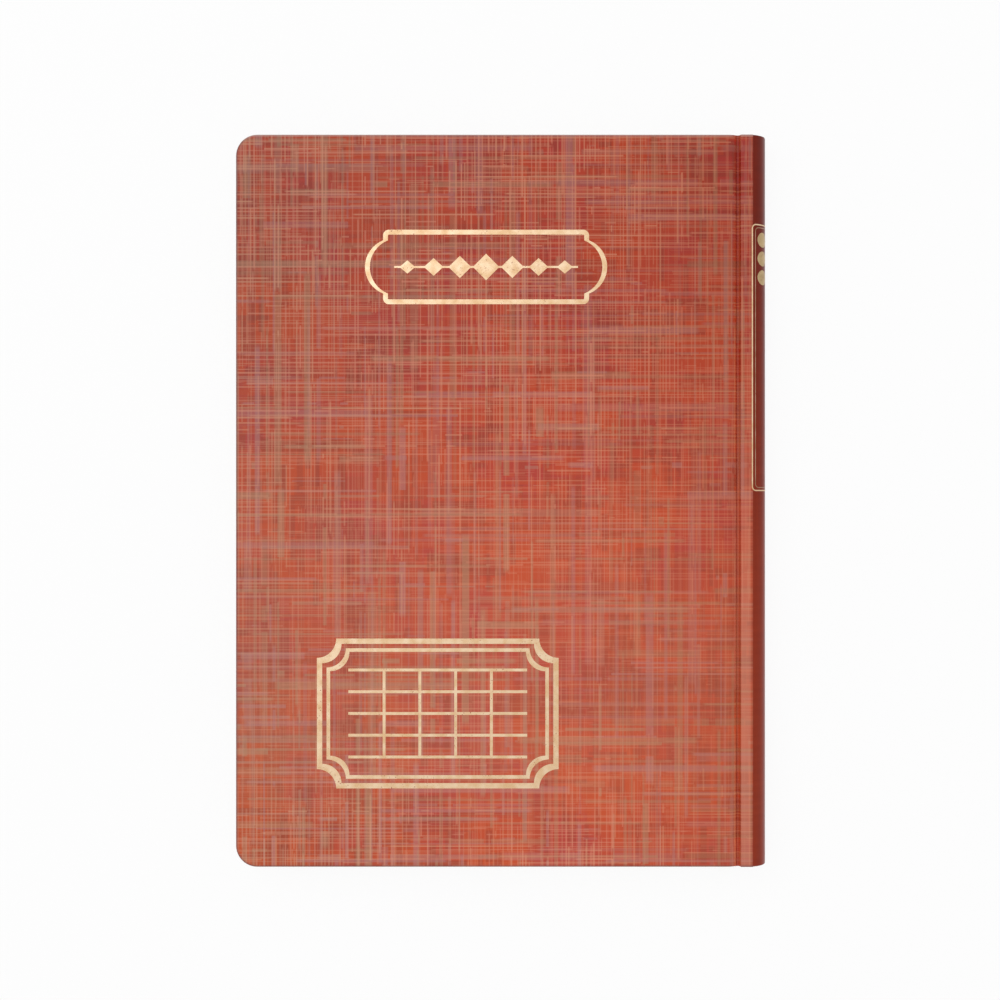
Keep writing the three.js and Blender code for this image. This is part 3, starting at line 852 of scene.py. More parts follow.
@dataclass(frozen=True)
class Woven(Finish):
    """Open cotton: tapes, thread and the mull on the back of the block."""

    name: str = "binding_cloth"
    roughness: float = 0.95
    relief: Pair = (0.6, 0.08)
    sheen: float = 0.2
    thread: Colour = srgb(232, 226, 208)
    gap: Colour = srgb(176, 164, 138)
    gap_edge: float = 0.25
    pitch: float = 0.7

    def dress(self, on: Surface) -> None:
        """A plain weave round the back of the block.

        Args:
            on: The material in the making.
        """
        _, y, z = on.parts(on.place)
        tall, wide = ((part / (self.pitch * MM) * FULL_TURN).sine() for part in (z, y))
        gap = (abs(tall) * abs(wide)).over(0.0, self.gap_edge, 1.0, 0.0)
        on.give({
            "Base Color": on.blend(gap, self.thread, self.gap),
            "Normal": on.bump((tall * wide).over(-1.0, 1.0), *self.relief),
            "Sheen Weight": self.sheen,
        })


@dataclass(frozen=True)
class WoundThread(Finish):
    """Two colours of silk wound side by side over a core."""

    name: str = "band_thread"
    roughness: float = 0.6
    relief: Pair = (0.7, 0.1)
    sheen: float = 0.25
    red: Colour = srgb(168, 44, 36)
    cream: Colour = srgb(236, 222, 190)
    turns: float = 34.0

    def dress(self, on: Surface) -> None:
        """Stripes along the band's own map, each with its round thread.

        Args:
            on: The material in the making.
        """
        phase = on.parts(on.plan)[0] * self.turns
        on.give({
            "Base Color": on.blend(phase % 2.0 > 1.0, self.red, self.cream),
            "Normal": on.bump(abs((phase * FULL_TURN).sine()), *self.relief),
            "Sheen Weight": self.sheen,
        })


class Finishes:
    """All the book's materials, made once."""

    def __init__(self) -> None:
        """Makes the shared groups and then each material."""
        effects = Effects()
        self.print = CoverPrint().material(effects)
        self.spine = SpinePrint().material(effects)
        self.foil = GoldFoil().material(effects)
        # Painted shade: a darker copy of the gold foil for the frame's inner line, on the spine's round that
        # faces away from the light.
        self.shaded_spine_foil = GoldFoil(
            name="shaded_spine_foil", pale=srgb(178, 140, 118), deep=srgb(150, 108, 82),
        ).material(effects)
        self.oval_foil = GoldFoil(
            name="oval_foil", pale=srgb(192, 166, 122), deep=srgb(170, 144, 104),
        ).material(effects)
        self.endpaper = Paper(name="endpaper").material(effects)
        self.endpaper_mapped = Paper(name="endpaper_mapped", mapped=True).material(effects)
        self.page = LedgerPage().material(effects)
        self.greyboard = Paper(
            name="greyboard", light=srgb(158, 148, 132), shade=srgb(132, 122, 106), fleck=srgb(92, 82, 70),
            flecks=0.6, grain=1500.0, relief=(0.5, 0.03),
        ).material(effects)
        self.kraft = Paper(
            name="kraft", light=srgb(180, 144, 102), shade=srgb(158, 122, 84), fleck=srgb(120, 88, 58),
            flecks=0.5, grain=1800.0, relief=(0.4, 0.03),
        ).material(effects)
        self.cloth = Woven().material(effects)
        self.band = WoundThread().material(effects)


class Workpiece:
    """A mesh in the making, with the steps that the book's pieces share."""

    def __init__(self) -> None:
        """Starts empty."""
        self.bm = bmesh.new()

    def panel(self, left: float, right: float, half: float, height: float) -> None:
        """Adds one flat rectangle.

        Args:
            left: Its low x.
            right: Its high x.
            half: Half of its length along y.
            height: Its z.
        """
        made = bmesh.ops.create_grid(self.bm, x_segments=1, y_segments=1, size=0.5)["verts"]
        bmesh.ops.scale(self.bm, vec=(right - left, 2 * half, 1), verts=made)
        bmesh.ops.translate(self.bm, vec=((left + right) / 2, 0, height), verts=made)

    def round_corners(self, faces: Faces, before: float, radius: float, segments: int) -> None:
        """Rounds the plan corners of a sheet at the fore-edge.

        Args:
            faces: The sheet's faces.
            before: The x that the corners lie before.
            radius: The corners' radius in millimetres.
            segments: How many edges make each corner.
        """
        corners = dict.fromkeys(vert for face in faces for vert in face.verts if vert.co.x < before)
        bmesh.ops.bevel(
            self.bm, geom=list(corners), offset=radius * MM, offset_type="OFFSET", segments=segments,
            profile=0.5, affect="VERTICES", material=-1, clamp_overlap=True,
        )

    def soften(self, edges: Edges, radius: float, segments: int, profile: float = 0.5) -> None:
        """Rounds edges; none of them lies closer to another than twice the radius.

        Args:
            edges: The edges.
            radius: The rounding's radius in millimetres.
            segments: How many faces make it.
            profile: 0.5 for a round edge, and less for a flatter one.
        """
        bmesh.ops.bevel(
            self.bm, geom=edges, offset=radius * MM, offset_type="OFFSET", segments=segments,
            profile=profile, affect="EDGES", material=-1, clamp_overlap=False,
        )

    def chain(self, points: list[Vector], closed: bool = False) -> Edges:
        """Adds a line through some points, and gives its edges in order."""
        verts = [self.bm.verts.new(point) for point in points]
        return [self.bm.edges.new(pair) for pair in zip(verts, verts[1:] + (verts[:1] if closed else []))]

    def pull(self, points: list[Vector], by: Vector) -> Faces:
        """Pulls a line into a sheet.

        Args:
            points: The line's points.
            by: How far.

        Returns:
            The new faces.
        """
        made = bmesh.ops.extrude_edge_only(self.bm, edges=self.chain(points))["geom"]
        verts = [part for part in made if isinstance(part, bmesh.types.BMVert)]
        bmesh.ops.translate(self.bm, vec=by, verts=verts)
        return [part for part in made if isinstance(part, bmesh.types.BMFace)]

    def pull_along(self, profile: Profile, half: float) -> Faces:
        """Pulls a profile, across the book and up in millimetres, from its tail end to its head end."""
        line = [Vector((LAYOUT.across(x), -half, z * MM)) for x, z in profile]
        return self.pull(line, Vector((0, 2 * half, 0)))

    def turn(self, faces: Faces, towards: Vector) -> None:
        """Makes the faces of a sheet look one way.

        Args:
            faces: The sheet's faces.
            towards: Where the face that lies furthest that way looks.
        """
        bmesh.ops.recalc_face_normals(self.bm, faces=faces)
        if max(faces, key=lambda face: face.calc_center_median().dot(towards)).normal.dot(towards) < 0:
            bmesh.ops.reverse_faces(self.bm, faces=faces)

    def thicken(self, thickness: float) -> None:
        """Gives every sheet a thickness in millimetres, on the side that its faces look away from."""
        bmesh.ops.solidify(self.bm, geom=self.bm.faces[:], thickness=thickness * MM)

    def map_by(self, place: Callable[[Vector], Pair]) -> None:
        """Writes the piece's own map.

        Args:
            place: Gives a corner's place in the map.
        """
        layer = self.bm.loops.layers.uv.new(PLAN)
        for loop in (loop for face in self.bm.faces for loop in face.loops):
            loop[layer].uv = place(loop.vert.co)

    def make(self, name: str, material: bpy.types.Material) -> bpy.types.Object:
        """Makes the plain object.

        Args:
            name: Its name.
            material: Its material.

        Returns:
            The object.
        """
        mesh = bpy.data.meshes.new(name)
        self.bm.to_mesh(mesh)
        self.bm.free()
        mesh.materials.append(material)
        made = bpy.data.objects.new(name, mesh)
        bpy.context.scene.collection.objects.link(made)
        return made

    def finish(
        self, name: str, material: bpy.types.Material, slot: str, *nodes: str, mapped: bool = True,
    ) -> bpy.types.Object:
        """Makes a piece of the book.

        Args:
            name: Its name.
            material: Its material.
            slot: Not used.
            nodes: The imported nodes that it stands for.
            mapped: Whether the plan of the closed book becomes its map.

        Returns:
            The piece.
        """
        bmesh.ops.recalc_face_normals(self.bm, faces=self.bm.faces[:])
        if mapped:
            self.map_by(lambda place: place.xy)
        piece = self.make(name, material)
        piece.data.polygons.foreach_set("use_smooth", [True] * len(piece.data.polygons))
        piece.data.set_sharp_from_angle(angle=SMOOTH_ANGLE)
        if nodes:
            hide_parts(*nodes)
        LOG.info("built %s", name)
        return piece


def bend(piece: bpy.types.Object, body: str, level: float, before: float, after: float) -> None:
    """Bakes a piece's place into its mesh, and works out where a bend about the hinge would begin and end; no
    bend is made.

    Args:
        piece: The piece.
        body: Not used.
        level: The height of the bend.
        before: How far on the spine's side of the hinge the bend begins, in millimetres.
        after: How far on its other side the bend ends, in millimetres.
    """
    start = (LAYOUT.hinge_x + before * MM, 0, level)
    end = (LAYOUT.hinge_x - after * MM, 0, level)
    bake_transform(piece)


def dress_nodes(material: bpy.types.Material, *names: str) -> None:
    """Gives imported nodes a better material.

    Args:
        material: The material.
        names: The nodes' names.
    """
    for name in names:
        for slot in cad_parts[name].material_slots:
            slot.material = material
        LOG.info("dressed %s with %s", name, material.name)


@dataclass
class Assembly:
    """What every sub-assembly has: the book's materials."""

    finishes: Finishes


@dataclass
class Cover(Assembly):
    """One cover: its board, the printed sheet turned in round it, and the pastedown inside."""

    side: Side
    corner_radius: float = 8.8
    corner_steps: int = 12
    edge_radius: float = 0.55
    edge_steps: int = 5
    board_edge_radius: float = 0.2
    joint_drop: float = 1.4
    joint_run: float = 3.2
    joint_steps: int = 8
    joint_profile: float = 0.4
    turn_in: float = 7.4
    sheet: float = 0.25
    glue: float = 0.05
    board_depth: float = 2.62
    rim_angle: float = 0.9
    flat: float = 0.99

    def slab(self, inset: float, depth: float, rim: float) -> Workpiece:
        """Builds a closed slab: round corners at the fore-edge, and a long roll down to the joint.

        Args:
            inset: How far it lies inside the cover's outside, in millimetres.
            depth: How deep its inner face lies, in millimetres.
            rim: The radius of its other edges, in millimetres.

        Returns:
            The slab.
        """
        step = inset * MM
        edge, outer = LAYOUT.board_edge - step, LAYOUT.level(self.side, inset)
        work = Workpiece()
        bm = work.bm
        work.panel(LAYOUT.fore_edge + step, edge, LAYOUT.half_height - step, outer)
        work.round_corners(bm.faces, 0.0, self.corner_radius - inset, self.corner_steps)
        pulled = bmesh.ops.extrude_face_region(bm, geom=bm.faces[:])["geom"]
        moved = [part for part in pulled if isinstance(part, bmesh.types.BMVert)]
        bmesh.ops.translate(bm, vec=(0, 0, -self.side.value * (depth - inset) * MM), verts=moved)
        bmesh.ops.recalc_face_normals(bm, faces=bm.faces[:])
        drop, run = self.joint_drop - inset, self.joint_run - inset
        at_joint = [
            e for e in bm.edges
            if all(abs(v.co.x - edge) < NEAR and abs(v.co.z - outer) < NEAR for v in e.verts)
        ]
        work.soften(at_joint, drop, self.joint_steps, self.joint_profile)
        reach = drop * MM + NEAR
        rolled = [v for v in bm.verts if v.co.x > edge - reach and abs(v.co.z - outer) < reach]
        stretched = Matrix.Translation((-edge, 0, 0))
        bmesh.ops.scale(bm, vec=(run / drop, 1, 1), space=stretched, verts=rolled)
        rims = [
            e for e in bm.edges
            if e.calc_face_angle(0.0) > self.rim_angle and (e.verts[0].co - e.verts[1].co).xy.length > NEAR
        ]
        work.soften(rims, rim, self.edge_steps)
        return work

    def build_wrap(self) -> None:
        """Builds the sheet that is turned in round the board."""
        label = self.side.label
        work = self.slab(0.0, (LAYOUT.top - LAYOUT.turn_in_face) / MM, self.edge_radius)
        inward = [face for face in work.bm.faces if face.normal.z * self.side.value < -self.flat]
        inner = max(inward, key=lambda face: face.calc_area())
        bmesh.ops.inset_region(
            work.bm, faces=[inner], thickness=self.turn_in * MM, use_even_offset=True, use_boundary=True,
        )
        bmesh.ops.delete(work.bm, geom=[inner], context="FACES")
        work.thicken(self.sheet)
        wrap = work.finish(f"{label}_cover_sheet", self.finishes.print, "cover_print", f"{label}_wrap")
        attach(wrap, f"{label}_cover")

    def build_board(self) -> None:
        """Builds the stiff board inside the sheet."""
        label = self.side.label
        work = self.slab(self.sheet + self.glue, self.board_depth, self.board_edge_radius)
        board = work.finish(f"{label}_cover_board", self.finishes.greyboard, "greyboard", f"{label}_board")
        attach(board, f"{label}_cover")

    def build(self) -> None:
        """Builds the sheet and the board, and dresses the pastedown."""
        self.build_wrap()
        self.build_board()
        dress_nodes(self.finishes.endpaper, f"{self.side.label}_pastedown")


@dataclass
class Joint(Assembly):
    """One joint of the case: the sheet that dips into the groove and lies on the shoulder."""

    side: Side
    groove_depth: float = 2.1
    groove_half: float = 0.97
    groove_middle: float = 207.93
    groove_fullness: float = 0.25
    start_depth: float = 1.3
    lip_radius: float = 0.5
    lip_steps: int = 4
    sheet: float = 0.25
    spine_start: float = 213.95
    steps: int = 14
    bend_reach: float = 1.05
    fold_start: float = 209.6
    fold_depth: float = 1.45
    fold_end: float = 0.6
    fold_gap: float = 0.01
    shown: float = 4.0
    turn_in: float = 12.0

    def profile(self) -> Profile:
        """The outer line across the joint.

        Returns:
            Points of place across the book and depth, in millimetres.
        """
        first = math.asin(self.start_depth / self.groove_depth)
        points = []
        for i in range(self.steps + 1):
            angle = first + (math.pi - first) * i / self.steps
            lean = math.cos(angle)
            reach = lean**self.groove_fullness if lean > 0 else lean
            depth = self.groove_depth * math.sin(angle)
            points.append((self.groove_middle - self.groove_half * reach, depth))
        return [*points, (self.spine_start, 0.0)]

    def build_sheet(self) -> None:
        """Builds the sheet."""
        label = self.side.label
        work = Workpiece()
        line = [(x, LAYOUT.level(self.side, depth) / MM) for x, depth in self.profile()]
        work.turn(work.pull_along(line, LAYOUT.half_height), Vector((0, 0, self.side.value)))
        ridge_x = LAYOUT.across(line[-2][0])
        ridge = [e for e in work.bm.edges if all(abs(v.co.x - ridge_x) < NEAR for v in e.verts)]
        work.soften(ridge, self.lip_radius, self.lip_steps)
        work.thicken(self.sheet)
        sheet = work.finish(f"{label}_joint_sheet", self.finishes.print, "cover_print", f"{label}_joint_wrap")
        bend(sheet, f"{label}_cover", LAYOUT.level(self.side, 0), self.bend_reach, self.bend_reach)

    def build_turn_in(self) -> None:
        """Builds the sheet's ends, which are folded round the card beside the spine."""
        work = Workpiece()
        outer, inner = self.sheet + self.fold_gap, self.fold_depth
        half = LAYOUT.half_height / MM
        fold = half_round(
            ((outer + inner) / 2, half - self.fold_end), ((outer - inner) / 2, self.fold_end), 0.0,
        )
        line = [(outer, half - self.shown), *fold, (inner, half - self.turn_in)]
        start = LAYOUT.across(self.fold_start)
        across = Vector(((self.spine_start - self.fold_start) * MM, 0, 0))
        for end in (1, -1):
            path = [Vector((start, end * y * MM, LAYOUT.level(self.side, depth))) for depth, y in line]
            work.turn(work.pull(path, across), Vector((0, 0, -self.side.value)))
        work.thicken(self.sheet)
        folded = work.finish(f"{self.side.label}_joint_turn_in", self.finishes.print, "cover_print")
        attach(folded, "bound_block")

    def build(self) -> None:
        """Builds the joint."""
        self.build_sheet()
        self.build_turn_in()


@dataclass
class Spine(Assembly):
    """The rounded spine of the case and its stiff card."""

    sheet: float = 0.25
    lip: float = 1.45
    lip_depth: float = 0.6
    turn_in: float = 12.0
    steps: int = 44

    def profile(self, radius: float) -> Profile:
        """The sheet's line from one turned-in end to the other.

        Args:
            radius: The outer face's radius in millimetres.

        Returns:
            Points of radius and place along the book, in millimetres.
        """
        half = LAYOUT.half_height / MM
        reach = self.lip / 2
        end = half_round((radius - reach, half - self.lip_depth), (reach, self.lip_depth), 0.0)
        end.append((radius - self.lip, half - self.turn_in))
        return [*((r, -y) for r, y in reversed(end)), *end]

    def build(self) -> None:
        """Builds the sheet and dresses the card."""
        centre, radius, half_angle = LAYOUT.spine_arc
        work = Workpiece()
        turned = Vector((math.cos(half_angle), 0, math.sin(half_angle)))
        middle = Vector((centre, 0, LAYOUT.middle))
        line = [middle + turned * (r * MM) + Vector((0, y * MM, 0)) for r, y in self.profile(radius / MM)]
        edges = work.chain(line)
        bmesh.ops.spin(
            work.bm, geom=work.bm.verts[:] + edges, cent=middle, axis=(0, 1, 0), angle=2 * half_angle,
            steps=self.steps, use_merge=False, use_duplicate=False,
        )
        work.turn(work.bm.faces[:], Vector((1, 0, 0)))
        work.thicken(self.sheet)
        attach(work.finish("spine_sheet", self.finishes.spine, "spine_print", "spine_wrap"), "bound_block")
        dress_nodes(self.finishes.greyboard, "spine_card")


@dataclass
class Block(Assembly):
    """The sewn block: folded sheets in gatherings, flyleaves, bands and linings."""

    count: int = 10
    turned: int = 5
    gathering: float = 1.08
    endpaper: float = 0.15
    endpaper_sheet: float = 0.11
    cover: float = 3.05
    sheets: int = 5
    leaf: float = 0.08
    shoulder_rise: float = 1.5
    back_round: float = 3.2
    corner_radius: float = 6.0
    corner_steps: int = 7
    corner_room: float = 1.0
    page_width: float = 210.0
    fold_edge: float = 213.2
    fold_room: float = 0.02
    fold_least: float = 0.05
    past_hinge: float = 0.3
    bending: float = 30.0
    flat_end: float = 20.0
    bend_clear: float = 0.1
    bend_start: float = 0.35
    bend_reach: float = 2.4
    flyleaf_edge: float = 3.25
    flyleaf_depth: float = 3.2
    strip_lift: float = 0.1
    strip_start: float = 0.2
    strip_bend: Pair = (1.4, 1.1)
    slope_far: tuple[float, ...] = (30.0, 25.0, 20.0, 15.0)
    slope_near: tuple[float, float, int] = (12.0, 1.2, 10)
    climb: tuple[float, int] = (0.86, 5)
    cloth: tuple[str, ...] = (
        "sewing_tape_head", "sewing_tape_middle", "sewing_tape_tail", "sewing_thread", "mull",
    )
    seed: int = 12
    trim: float = 0.1
    columns: int = 18
    band_sides: int = 14
    band_steps: int = 20

    @property
    def half(self) -> float:
        """Half of the block's thickness in millimetres."""
        return self.count * self.gathering / 2 + self.endpaper

    @property
    def middle(self) -> float:
        """The height of the block's middle in millimetres."""
        return self.cover + self.half

    @property
    def back(self) -> Pair:
        """The centre and radius of the rounded back, in millimetres."""
        half = self.half + self.shoulder_rise
        radius = (half**2 + self.back_round**2) / (2 * self.back_round)
        return self.fold_edge + self.back_round - radius, radius

    def at_fold(self, level: float) -> float:
        """Where a level comes out at the folds, which swell to the shoulders' height."""
        return self.middle + (level - self.middle) * (self.half + self.shoulder_rise) / self.half

    def span(self, number: int) -> Pair:
        """The low and high level of a gathering; number 1 lies uppermost."""
        low = self.cover + self.endpaper + (self.count - number) * self.gathering
        return low, low + self.gathering

    def tip(self, low: float, high: float) -> float:
        """Where a gathering's fold ends.

        Args:
            low: The gathering's low level.
            high: The gathering's high level.

        Returns:
            The place across the book, in millimetres.
        """
        centre, radius = self.back
        offset = max(abs(self.at_fold(level) - self.middle) for level in (low, high))
        return centre + math.sqrt(max(radius**2 - offset**2, 0))

    def fold_line(self, low: float, high: float, share: float) -> Profile:
        """The line of one folded sheet from its lower leaf's fore-edge round to the upper one's.

        Args:
            low: The gathering's low level.
            high: The gathering's high level.
            share: How far in the sheet lies, 0 for the outermost and 1 for the middle.

        Returns:
            Points across the book and up, in millimetres, without the fore-edge ends.
        """
        middle, half = (low + high) / 2, (high - low) / 2 * (1 - share)
        base, top = self.at_fold(low), self.at_fold(high)
        swell, fold_middle = (top - base) / 2, (base + top) / 2
        nose = self.tip(low, high) - swell
        fold_half = max((swell - self.fold_room) * (1 - share), self.fold_least)
        hinge = LAYOUT.hinge_mm
        start = hinge + self.past_hinge
        width = self.bending + self.past_hinge
        across = [hinge - self.bending + width * i / self.columns for i in range(self.columns + 1)]
        leaves = []
        for way in (-1, 1):
            flat, folded = middle + way * half, fold_middle + way * fold_half
            leaf = [(x, flat) for x in across]
            leaf += [(start + (nose - start) * t, flat * (1 - t) + folded * t) for t in (1 / 3, 2 / 3)]
            leaves.append(leaf)
        fold = half_round((nose, fold_middle), (fold_half, fold_half), -math.pi / 2)
        return leaves[0] + fold + leaves[1][::-1]

    def leaves(self, work: Workpiece, points: Profile, half: float) -> None:
        """Pulls a line that begins at the fore-edge into leaves with round corners.

        Args:
            work: The mesh in the making.
            points: The line, across the book and up, in millimetres.
            half: Half of the leaves' height, in metres.
        """
        inside = LAYOUT.across(points[0][0] + self.corner_room)
        work.round_corners(work.pull_along(points, half), inside, self.corner_radius, self.corner_steps)

    def folded_sheet(
        self, work: Workpiece, low: float, high: float, share: float, slip: random.Random,
    ) -> None:
        """Adds one folded sheet.

        Args:
            work: The mesh in the making.
            low: The gathering's low level.
            high: The gathering's high level.
            share: How far in the sheet lies.
            slip: Where the small unevenness of the trim comes from.
        """
        edge = self.tip(low, high) - self.page_width
        line = self.fold_line(low, high, share)
        below, above = line[0][1], line[-1][1]
        points = [
            (edge + slip.uniform(0, self.trim), below),
            (edge + self.flat_end, below),
            *line,
            (edge + self.flat_end, above),
            (edge + slip.uniform(0, self.trim), above),
        ]
        self.leaves(work, points, LAYOUT.page_half - slip.uniform(0, self.trim / 2) * MM)

    def build_gathering(self, number: int) -> None:
        """Builds one gathering.

        Args:
            number: Its number, 1 for the uppermost.
        """
        low, high = self.span(number)
        slip = random.Random(self.seed + number)
        work = Workpiece()
        for sheet in range(self.sheets):
            self.folded_sheet(work, low, high, (sheet + 0.5) / self.sheets, slip)
        work.thicken(self.leaf)
        page = (self.finishes.page, "page_paper")
        if number <= self.turned:
            nodes = (f"gathering_leaves_{number:02d}", f"gathering_fold_{number:02d}")
            piece = work.finish(f"turning_gathering_{number:02d}", *page, *nodes)
            depth = LAYOUT.top / MM + self.bend_clear - (low + high) / 2
            bend(piece, f"leaves_{number:02d}", high * MM, self.bend_start * depth, self.bend_reach * depth)
        else:
            name = f"gathering_{number:02d}"
            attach(work.finish(f"lying_{name}", *page, name), "bound_block")

    def slope(self, side: Side, lift: float) -> Profile:
        """A line that follows the outermost gathering up to the shoulder.

        Args:
            side: The cover it lies under.
            lift: How far above the gathering it stays, in millimetres.

        Returns:
            Points across the book and up, in millimetres, from the fore-edge side to the spine.
        """
        start = LAYOUT.hinge_mm + self.past_hinge
        low, high = self.span(1)
        top = self.at_fold(high)
        nose = self.tip(low, high) - (top - self.at_fold(low)) / 2
        back, step, steps = self.slope_near
        level = [*(-far for far in self.slope_far), *(step * i - back for i in range(steps + 1))]
        points = [(start + x, high + lift) for x in level]
        share, steps = self.climb
        for t in (share * i / steps for i in range(steps + 1)):
            points.append((start + (nose - start) * t, high + (top - high) * t + lift))
        return points if side is Side.FRONT else [(x, 2 * self.middle - z) for x, z in points]

    def build_flyleaf(self, side: Side) -> None:
        """Builds the free endpaper leaf.

        Args:
            side: The cover it lies under.
        """
        work = Workpiece()
        line, edge = self.slope(side, self.endpaper / 2), self.flyleaf_edge
        level = line[0][1]
        self.leaves(work, [(edge, level), (edge + self.flat_end, level), *line], LAYOUT.page_half)
        work.thicken(self.endpaper_sheet)
        node, name = f"{side.label}_flyleaf", f"{side.label}_free_endpaper"
        piece = work.finish(name, self.finishes.endpaper_mapped, "endpaper", node)
        reach = (self.bend_start * self.flyleaf_depth, self.bend_reach * self.flyleaf_depth)
        bend(piece, node, LAYOUT.level(side, 0), *reach)

    def build_hinge_strip(self, side: Side) -> None:
        """Builds the endpaper's strip from the pastedown across the joint to the fold.

        Args:
            side: The cover it belongs to.
        """
        work = Workpiece()
        start = (LAYOUT.board_edge - LAYOUT.fore_edge) / MM - self.strip_start
        slope = self.slope(side, self.endpaper + self.strip_lift)
        work.pull_along([(x, z) for x, z in slope if x > start], LAYOUT.page_half)
        across = [e for e in work.bm.edges if abs(e.verts[0].co.y - e.verts[1].co.y) < NEAR * MM]
        bmesh.ops.subdivide_edges(work.bm, edges=across, cuts=2)
        work.thicken(self.endpaper_sheet)
        node, name = f"{side.label}_endpaper_fold", f"{side.label}_endpaper_hinge"
        piece = work.finish(name, self.finishes.endpaper_mapped, "endpaper", node)
        bend(piece, f"{side.label}_cover", LAYOUT.level(side, 0), *self.strip_bend)

    def build_band(self, node: str) -> None:
        """Builds a worked band at the head or the tail.

        Args:
            node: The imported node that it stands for.
        """
        low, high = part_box(node)
        radius = (high.y - low.y) / 2
        centre = Vector((LAYOUT.across(self.back[0]), (low.y + high.y) / 2, LAYOUT.middle))
        reach = self.back[1] * MM - radius
        half_angle = math.asin((self.half * MM - radius) / reach)
        work = Workpiece()
        bm = work.bm
        ring = bmesh.ops.create_circle(bm, cap_ends=False, segments=self.band_sides, radius=radius)["verts"]
        bmesh.ops.rotate(bm, cent=(0, 0, 0), matrix=Matrix.Rotation(-half_angle, 3, "Y"), verts=ring)
        place = centre + Vector((math.cos(half_angle), 0, math.sin(half_angle))) * reach
        bmesh.ops.translate(bm, vec=place, verts=ring)
        bmesh.ops.spin(
            bm, geom=bm.verts[:] + bm.edges[:], cent=centre, axis=(0, 1, 0), angle=2 * half_angle,
            steps=self.band_steps, use_merge=False, use_duplicate=False,
        )
        bmesh.ops.holes_fill(bm, edges=[edge for edge in bm.edges if edge.is_boundary], sides=0)
        work.map_by(lambda co: (
            math.atan2(co.z - centre.z, co.x - centre.x) / (2 * half_angle) + 0.5, (co.y - centre.y) / radius,
        ))
        band = work.finish(f"worked_{node}", self.finishes.band, "band_thread", node, mapped=False)
        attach(band, "bound_block")

    def build(self) -> None:
        """Builds the whole block and dresses its linings."""
        for number in range(1, self.count + 1):
            self.build_gathering(number)
        for side in Side:
            self.build_flyleaf(side)
            self.build_hinge_strip(side)
        for node in ("headband", "tailband"):
            self.build_band(node)
        dress_nodes(self.finishes.cloth, *self.cloth)
        dress_nodes(self.finishes.kraft, "spine_liner")


@dataclass
class Foil(Assembly):
    """The gold foil on the front cover and on the spine."""

    cover: tuple[str, ...] = (
        "title_frame_foil", "title_ornament_foil",
        "label_outer_foil", "label_inner_foil", "label_ruling_foil",
    )
    corner: float = 1.6
    lift: float = 0.045
    sheet: float = 0.04
    turns: int = 6
    crossing: int = 40
    outer_line: Pair = (0.35, 0.5)
    inner_line: Pair = (-1.06, 0.36)

    def outline(self, reach: float, half: float) -> list[tuple[Vector, Vector]]:
        """A rectangle with round corners on the unrolled spine.

        Args:
            reach: Half of its width across the spine.
            half: Half of its length along the spine.

        Returns:
            Its points, each with the direction away from the middle.
        """
        corner = self.corner * MM
        points = []
        for number, (side, end) in enumerate(((1, 1), (-1, 1), (-1, -1), (1, -1))):
            middle = Vector((side * (reach - corner), end * (half - corner)))
            for i in range(self.turns + 1):
                angle = (number + i / self.turns) * math.pi / 2
                away = Vector((math.cos(angle), math.sin(angle)))
                points.append((middle + away * corner, away))
            if side == end:
                for i in range(1, self.crossing):
                    across = side * (reach - corner) * (1 - 2 * i / self.crossing)
                    points.append((Vector((across, end * half)), Vector((0, end))))
        return points

    def lay(self, around: float, along: float) -> Vector:
        """Lays a point of the unrolled spine on the round of the spine, or on the shoulder beside it.

        Args:
            around: Its distance from the spine's middle line.
            along: Its place along the book.

        Returns:
            The point.
        """
        centre, radius, half_angle = LAYOUT.spine_arc
        angle, lift = around / radius, self.lift * MM
        if abs(angle) <= half_angle:
            reach = radius + lift
            return Vector((centre + reach * math.cos(angle), along, LAYOUT.middle + reach * math.sin(angle)))
        beyond = abs(around) - radius * half_angle
        level = LAYOUT.middle + math.copysign(LAYOUT.middle + lift, around)
        return Vector((LAYOUT.across(LAYOUT.spine_start) - beyond, along, level))

    def build_frame(self, node: str, line: Pair, material: bpy.types.Material) -> None:
        """Builds one line of the frame round the spine.

        Args:
            node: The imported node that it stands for.
            line: How far its sides lie past the spine's edges, and its width, in millimetres.
            material: Its finish.
        """
        low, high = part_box(node)
        _, radius, half_angle = LAYOUT.spine_arc
        beyond, width = (size * MM for size in line)
        middle = (low.y + high.y) / 2
        outline = self.outline(radius * half_angle + beyond, (high.y - low.y - width) / 2)
        work = Workpiece()
        rims = []
        for way in (-1, 1):
            rim = [point + away * (way * width / 2) for point, away in outline]
            rims += work.chain([self.lay(place.x, place.y + middle) for place in rim], closed=True)
        work.turn(bmesh.ops.bridge_loops(work.bm, edges=rims)["faces"], Vector((1, 0, 0)))
        work.thicken(self.sheet)
        name = node.replace("_foil", "_line")
        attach(work.finish(name, material, "gold_foil", node, mapped=False), "bound_block")

    def build(self) -> None:
        """Builds the spine's frame, and gives the other foils their finish."""
        self.build_frame("spine_frame_outer_foil", self.outer_line, self.finishes.foil)
        # The inner line takes the foil with painted shade.
        self.build_frame("spine_frame_inner_foil", self.inner_line, self.finishes.shaded_spine_foil)
        dress_nodes(self.finishes.oval_foil, "spine_ornament_foil")
        dress_nodes(self.finishes.foil, *self.cover)


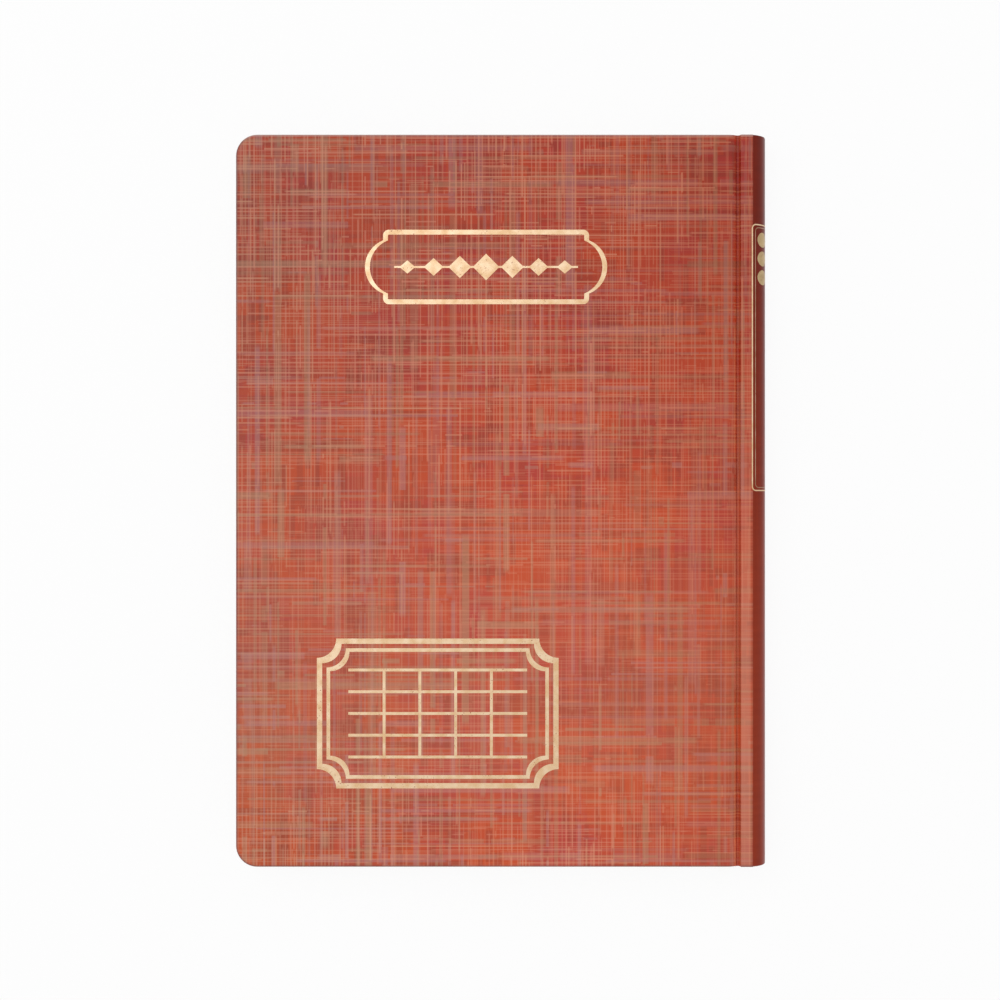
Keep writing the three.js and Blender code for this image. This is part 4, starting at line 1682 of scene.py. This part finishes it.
@dataclass
class Studio:
    """The pale floor, the soft light and the camera of the photograph, in metres."""

    camera_height: float = 0.771
    camera_aside: Pair = (-0.0008, 0.0003)
    clip_start: float = 0.01
    lens: float = 65.6
    sensor: float = 36.0
    floor_half: float = 12.0
    floor_level: float = -0.0003
    floor_tone: float = 0.86
    floor_clear: float = 0.92
    floor_reach: Pair = (0.35, 1.1)
    key_energy: float = 9.0
    key_size: float = 1.4
    key_place: Colour = (-0.7, 0.55, 1.5)
    world: float = 0.72

    @staticmethod
    def rays(nodes: Nodes, *kinds: str) -> Value:
        """1 for the rays of some kinds, and 0 for the others."""
        path = nodes.add("ShaderNodeLightPath").outputs
        return reduce(Value.most, (Value(nodes, path[f"Is {kind} Ray"]) for kind in kinds))

    def build_floor(self) -> None:
        """Lays a pale floor that keeps the shadow, thin as glass so that an opened cover shows under it."""
        material = bpy.data.materials.new("studio_floor")
        material.use_nodes = True
        nodes = Nodes(material.node_tree)
        lit = nodes.add("ShaderNodeBsdfDiffuse", {"Color": (self.floor_tone,) * 3}).outputs[0]
        clear = nodes.add("ShaderNodeBsdfTransparent").outputs[0]
        away = nodes.add("ShaderNodeVectorMath", {0: nodes.place}, operation="LENGTH").outputs["Value"]
        fade = Value(nodes, away).over(*self.floor_reach, self.floor_clear, 1.0)
        back = nodes.add("ShaderNodeNewGeometry").outputs["Backfacing"]
        share = self.rays(nodes, "Camera", "Glossy", "Transmission") * fade
        share = share.most(self.rays(nodes, "Shadow", "Diffuse")).most(back)
        shown = nodes.add("ShaderNodeMixShader", {0: share, 1: lit, 2: clear})
        nodes.add("ShaderNodeOutputMaterial", {0: shown.outputs[0]})
        work = Workpiece()
        work.panel(-self.floor_half, self.floor_half, self.floor_half, self.floor_level)
        work.make("studio_floor", material)

    def build_world(self) -> None:
        """Lights everything evenly, and shows white behind it."""
        world = bpy.context.scene.world = bpy.data.worlds.new("studio")
        world.use_nodes = True
        nodes = Nodes(world.node_tree)
        strength = self.rays(nodes, "Camera", "Glossy", "Transmission").over(0.0, 1.0, self.world, 1.0)
        light = nodes.add("ShaderNodeBackground", {"Color": (1.0, 1.0, 1.0), "Strength": strength})
        nodes.add("ShaderNodeOutputWorld", {0: light.outputs[0]})

    def build_lamp(self) -> None:
        """Hangs one large soft lamp over the upper left of the book."""
        lamp = bpy.data.lights.new("key", "AREA")
        lamp.energy = self.key_energy
        lamp.size = self.key_size
        key = bpy.data.objects.new("key", lamp)
        bpy.context.scene.collection.objects.link(key)
        key.location = self.key_place
        key.rotation_euler = (-key.location).to_track_quat("-Z", "Y").to_euler()

    def build_camera(self) -> None:
        """Looks straight down on the closed book."""
        data = bpy.data.cameras.new("camera")
        data.lens, data.sensor_width, data.clip_start = self.lens, self.sensor, self.clip_start
        camera = bpy.data.objects.new("camera", data)
        camera.location = (*self.camera_aside, self.camera_height)
        bpy.context.scene.collection.objects.link(camera)
        bpy.context.scene.camera = camera

    def build(self) -> None:
        """Builds the studio."""
        bpy.context.scene.view_settings.view_transform = "Standard"
        self.build_camera()
        self.build_floor()
        self.build_world()
        self.build_lamp()


def main() -> None:
    """Builds the studio and then the book, from its covers inwards."""
    logging.basicConfig(level=logging.INFO, format="%(name)s: %(message)s")
    Studio().build()
    finishes = Finishes()
    for side in Side:
        Cover(finishes, side).build()
        Joint(finishes, side).build()
    for assembly in (Spine, Block, Foil):
        assembly(finishes).build()


if __name__ == "__main__":
    main()
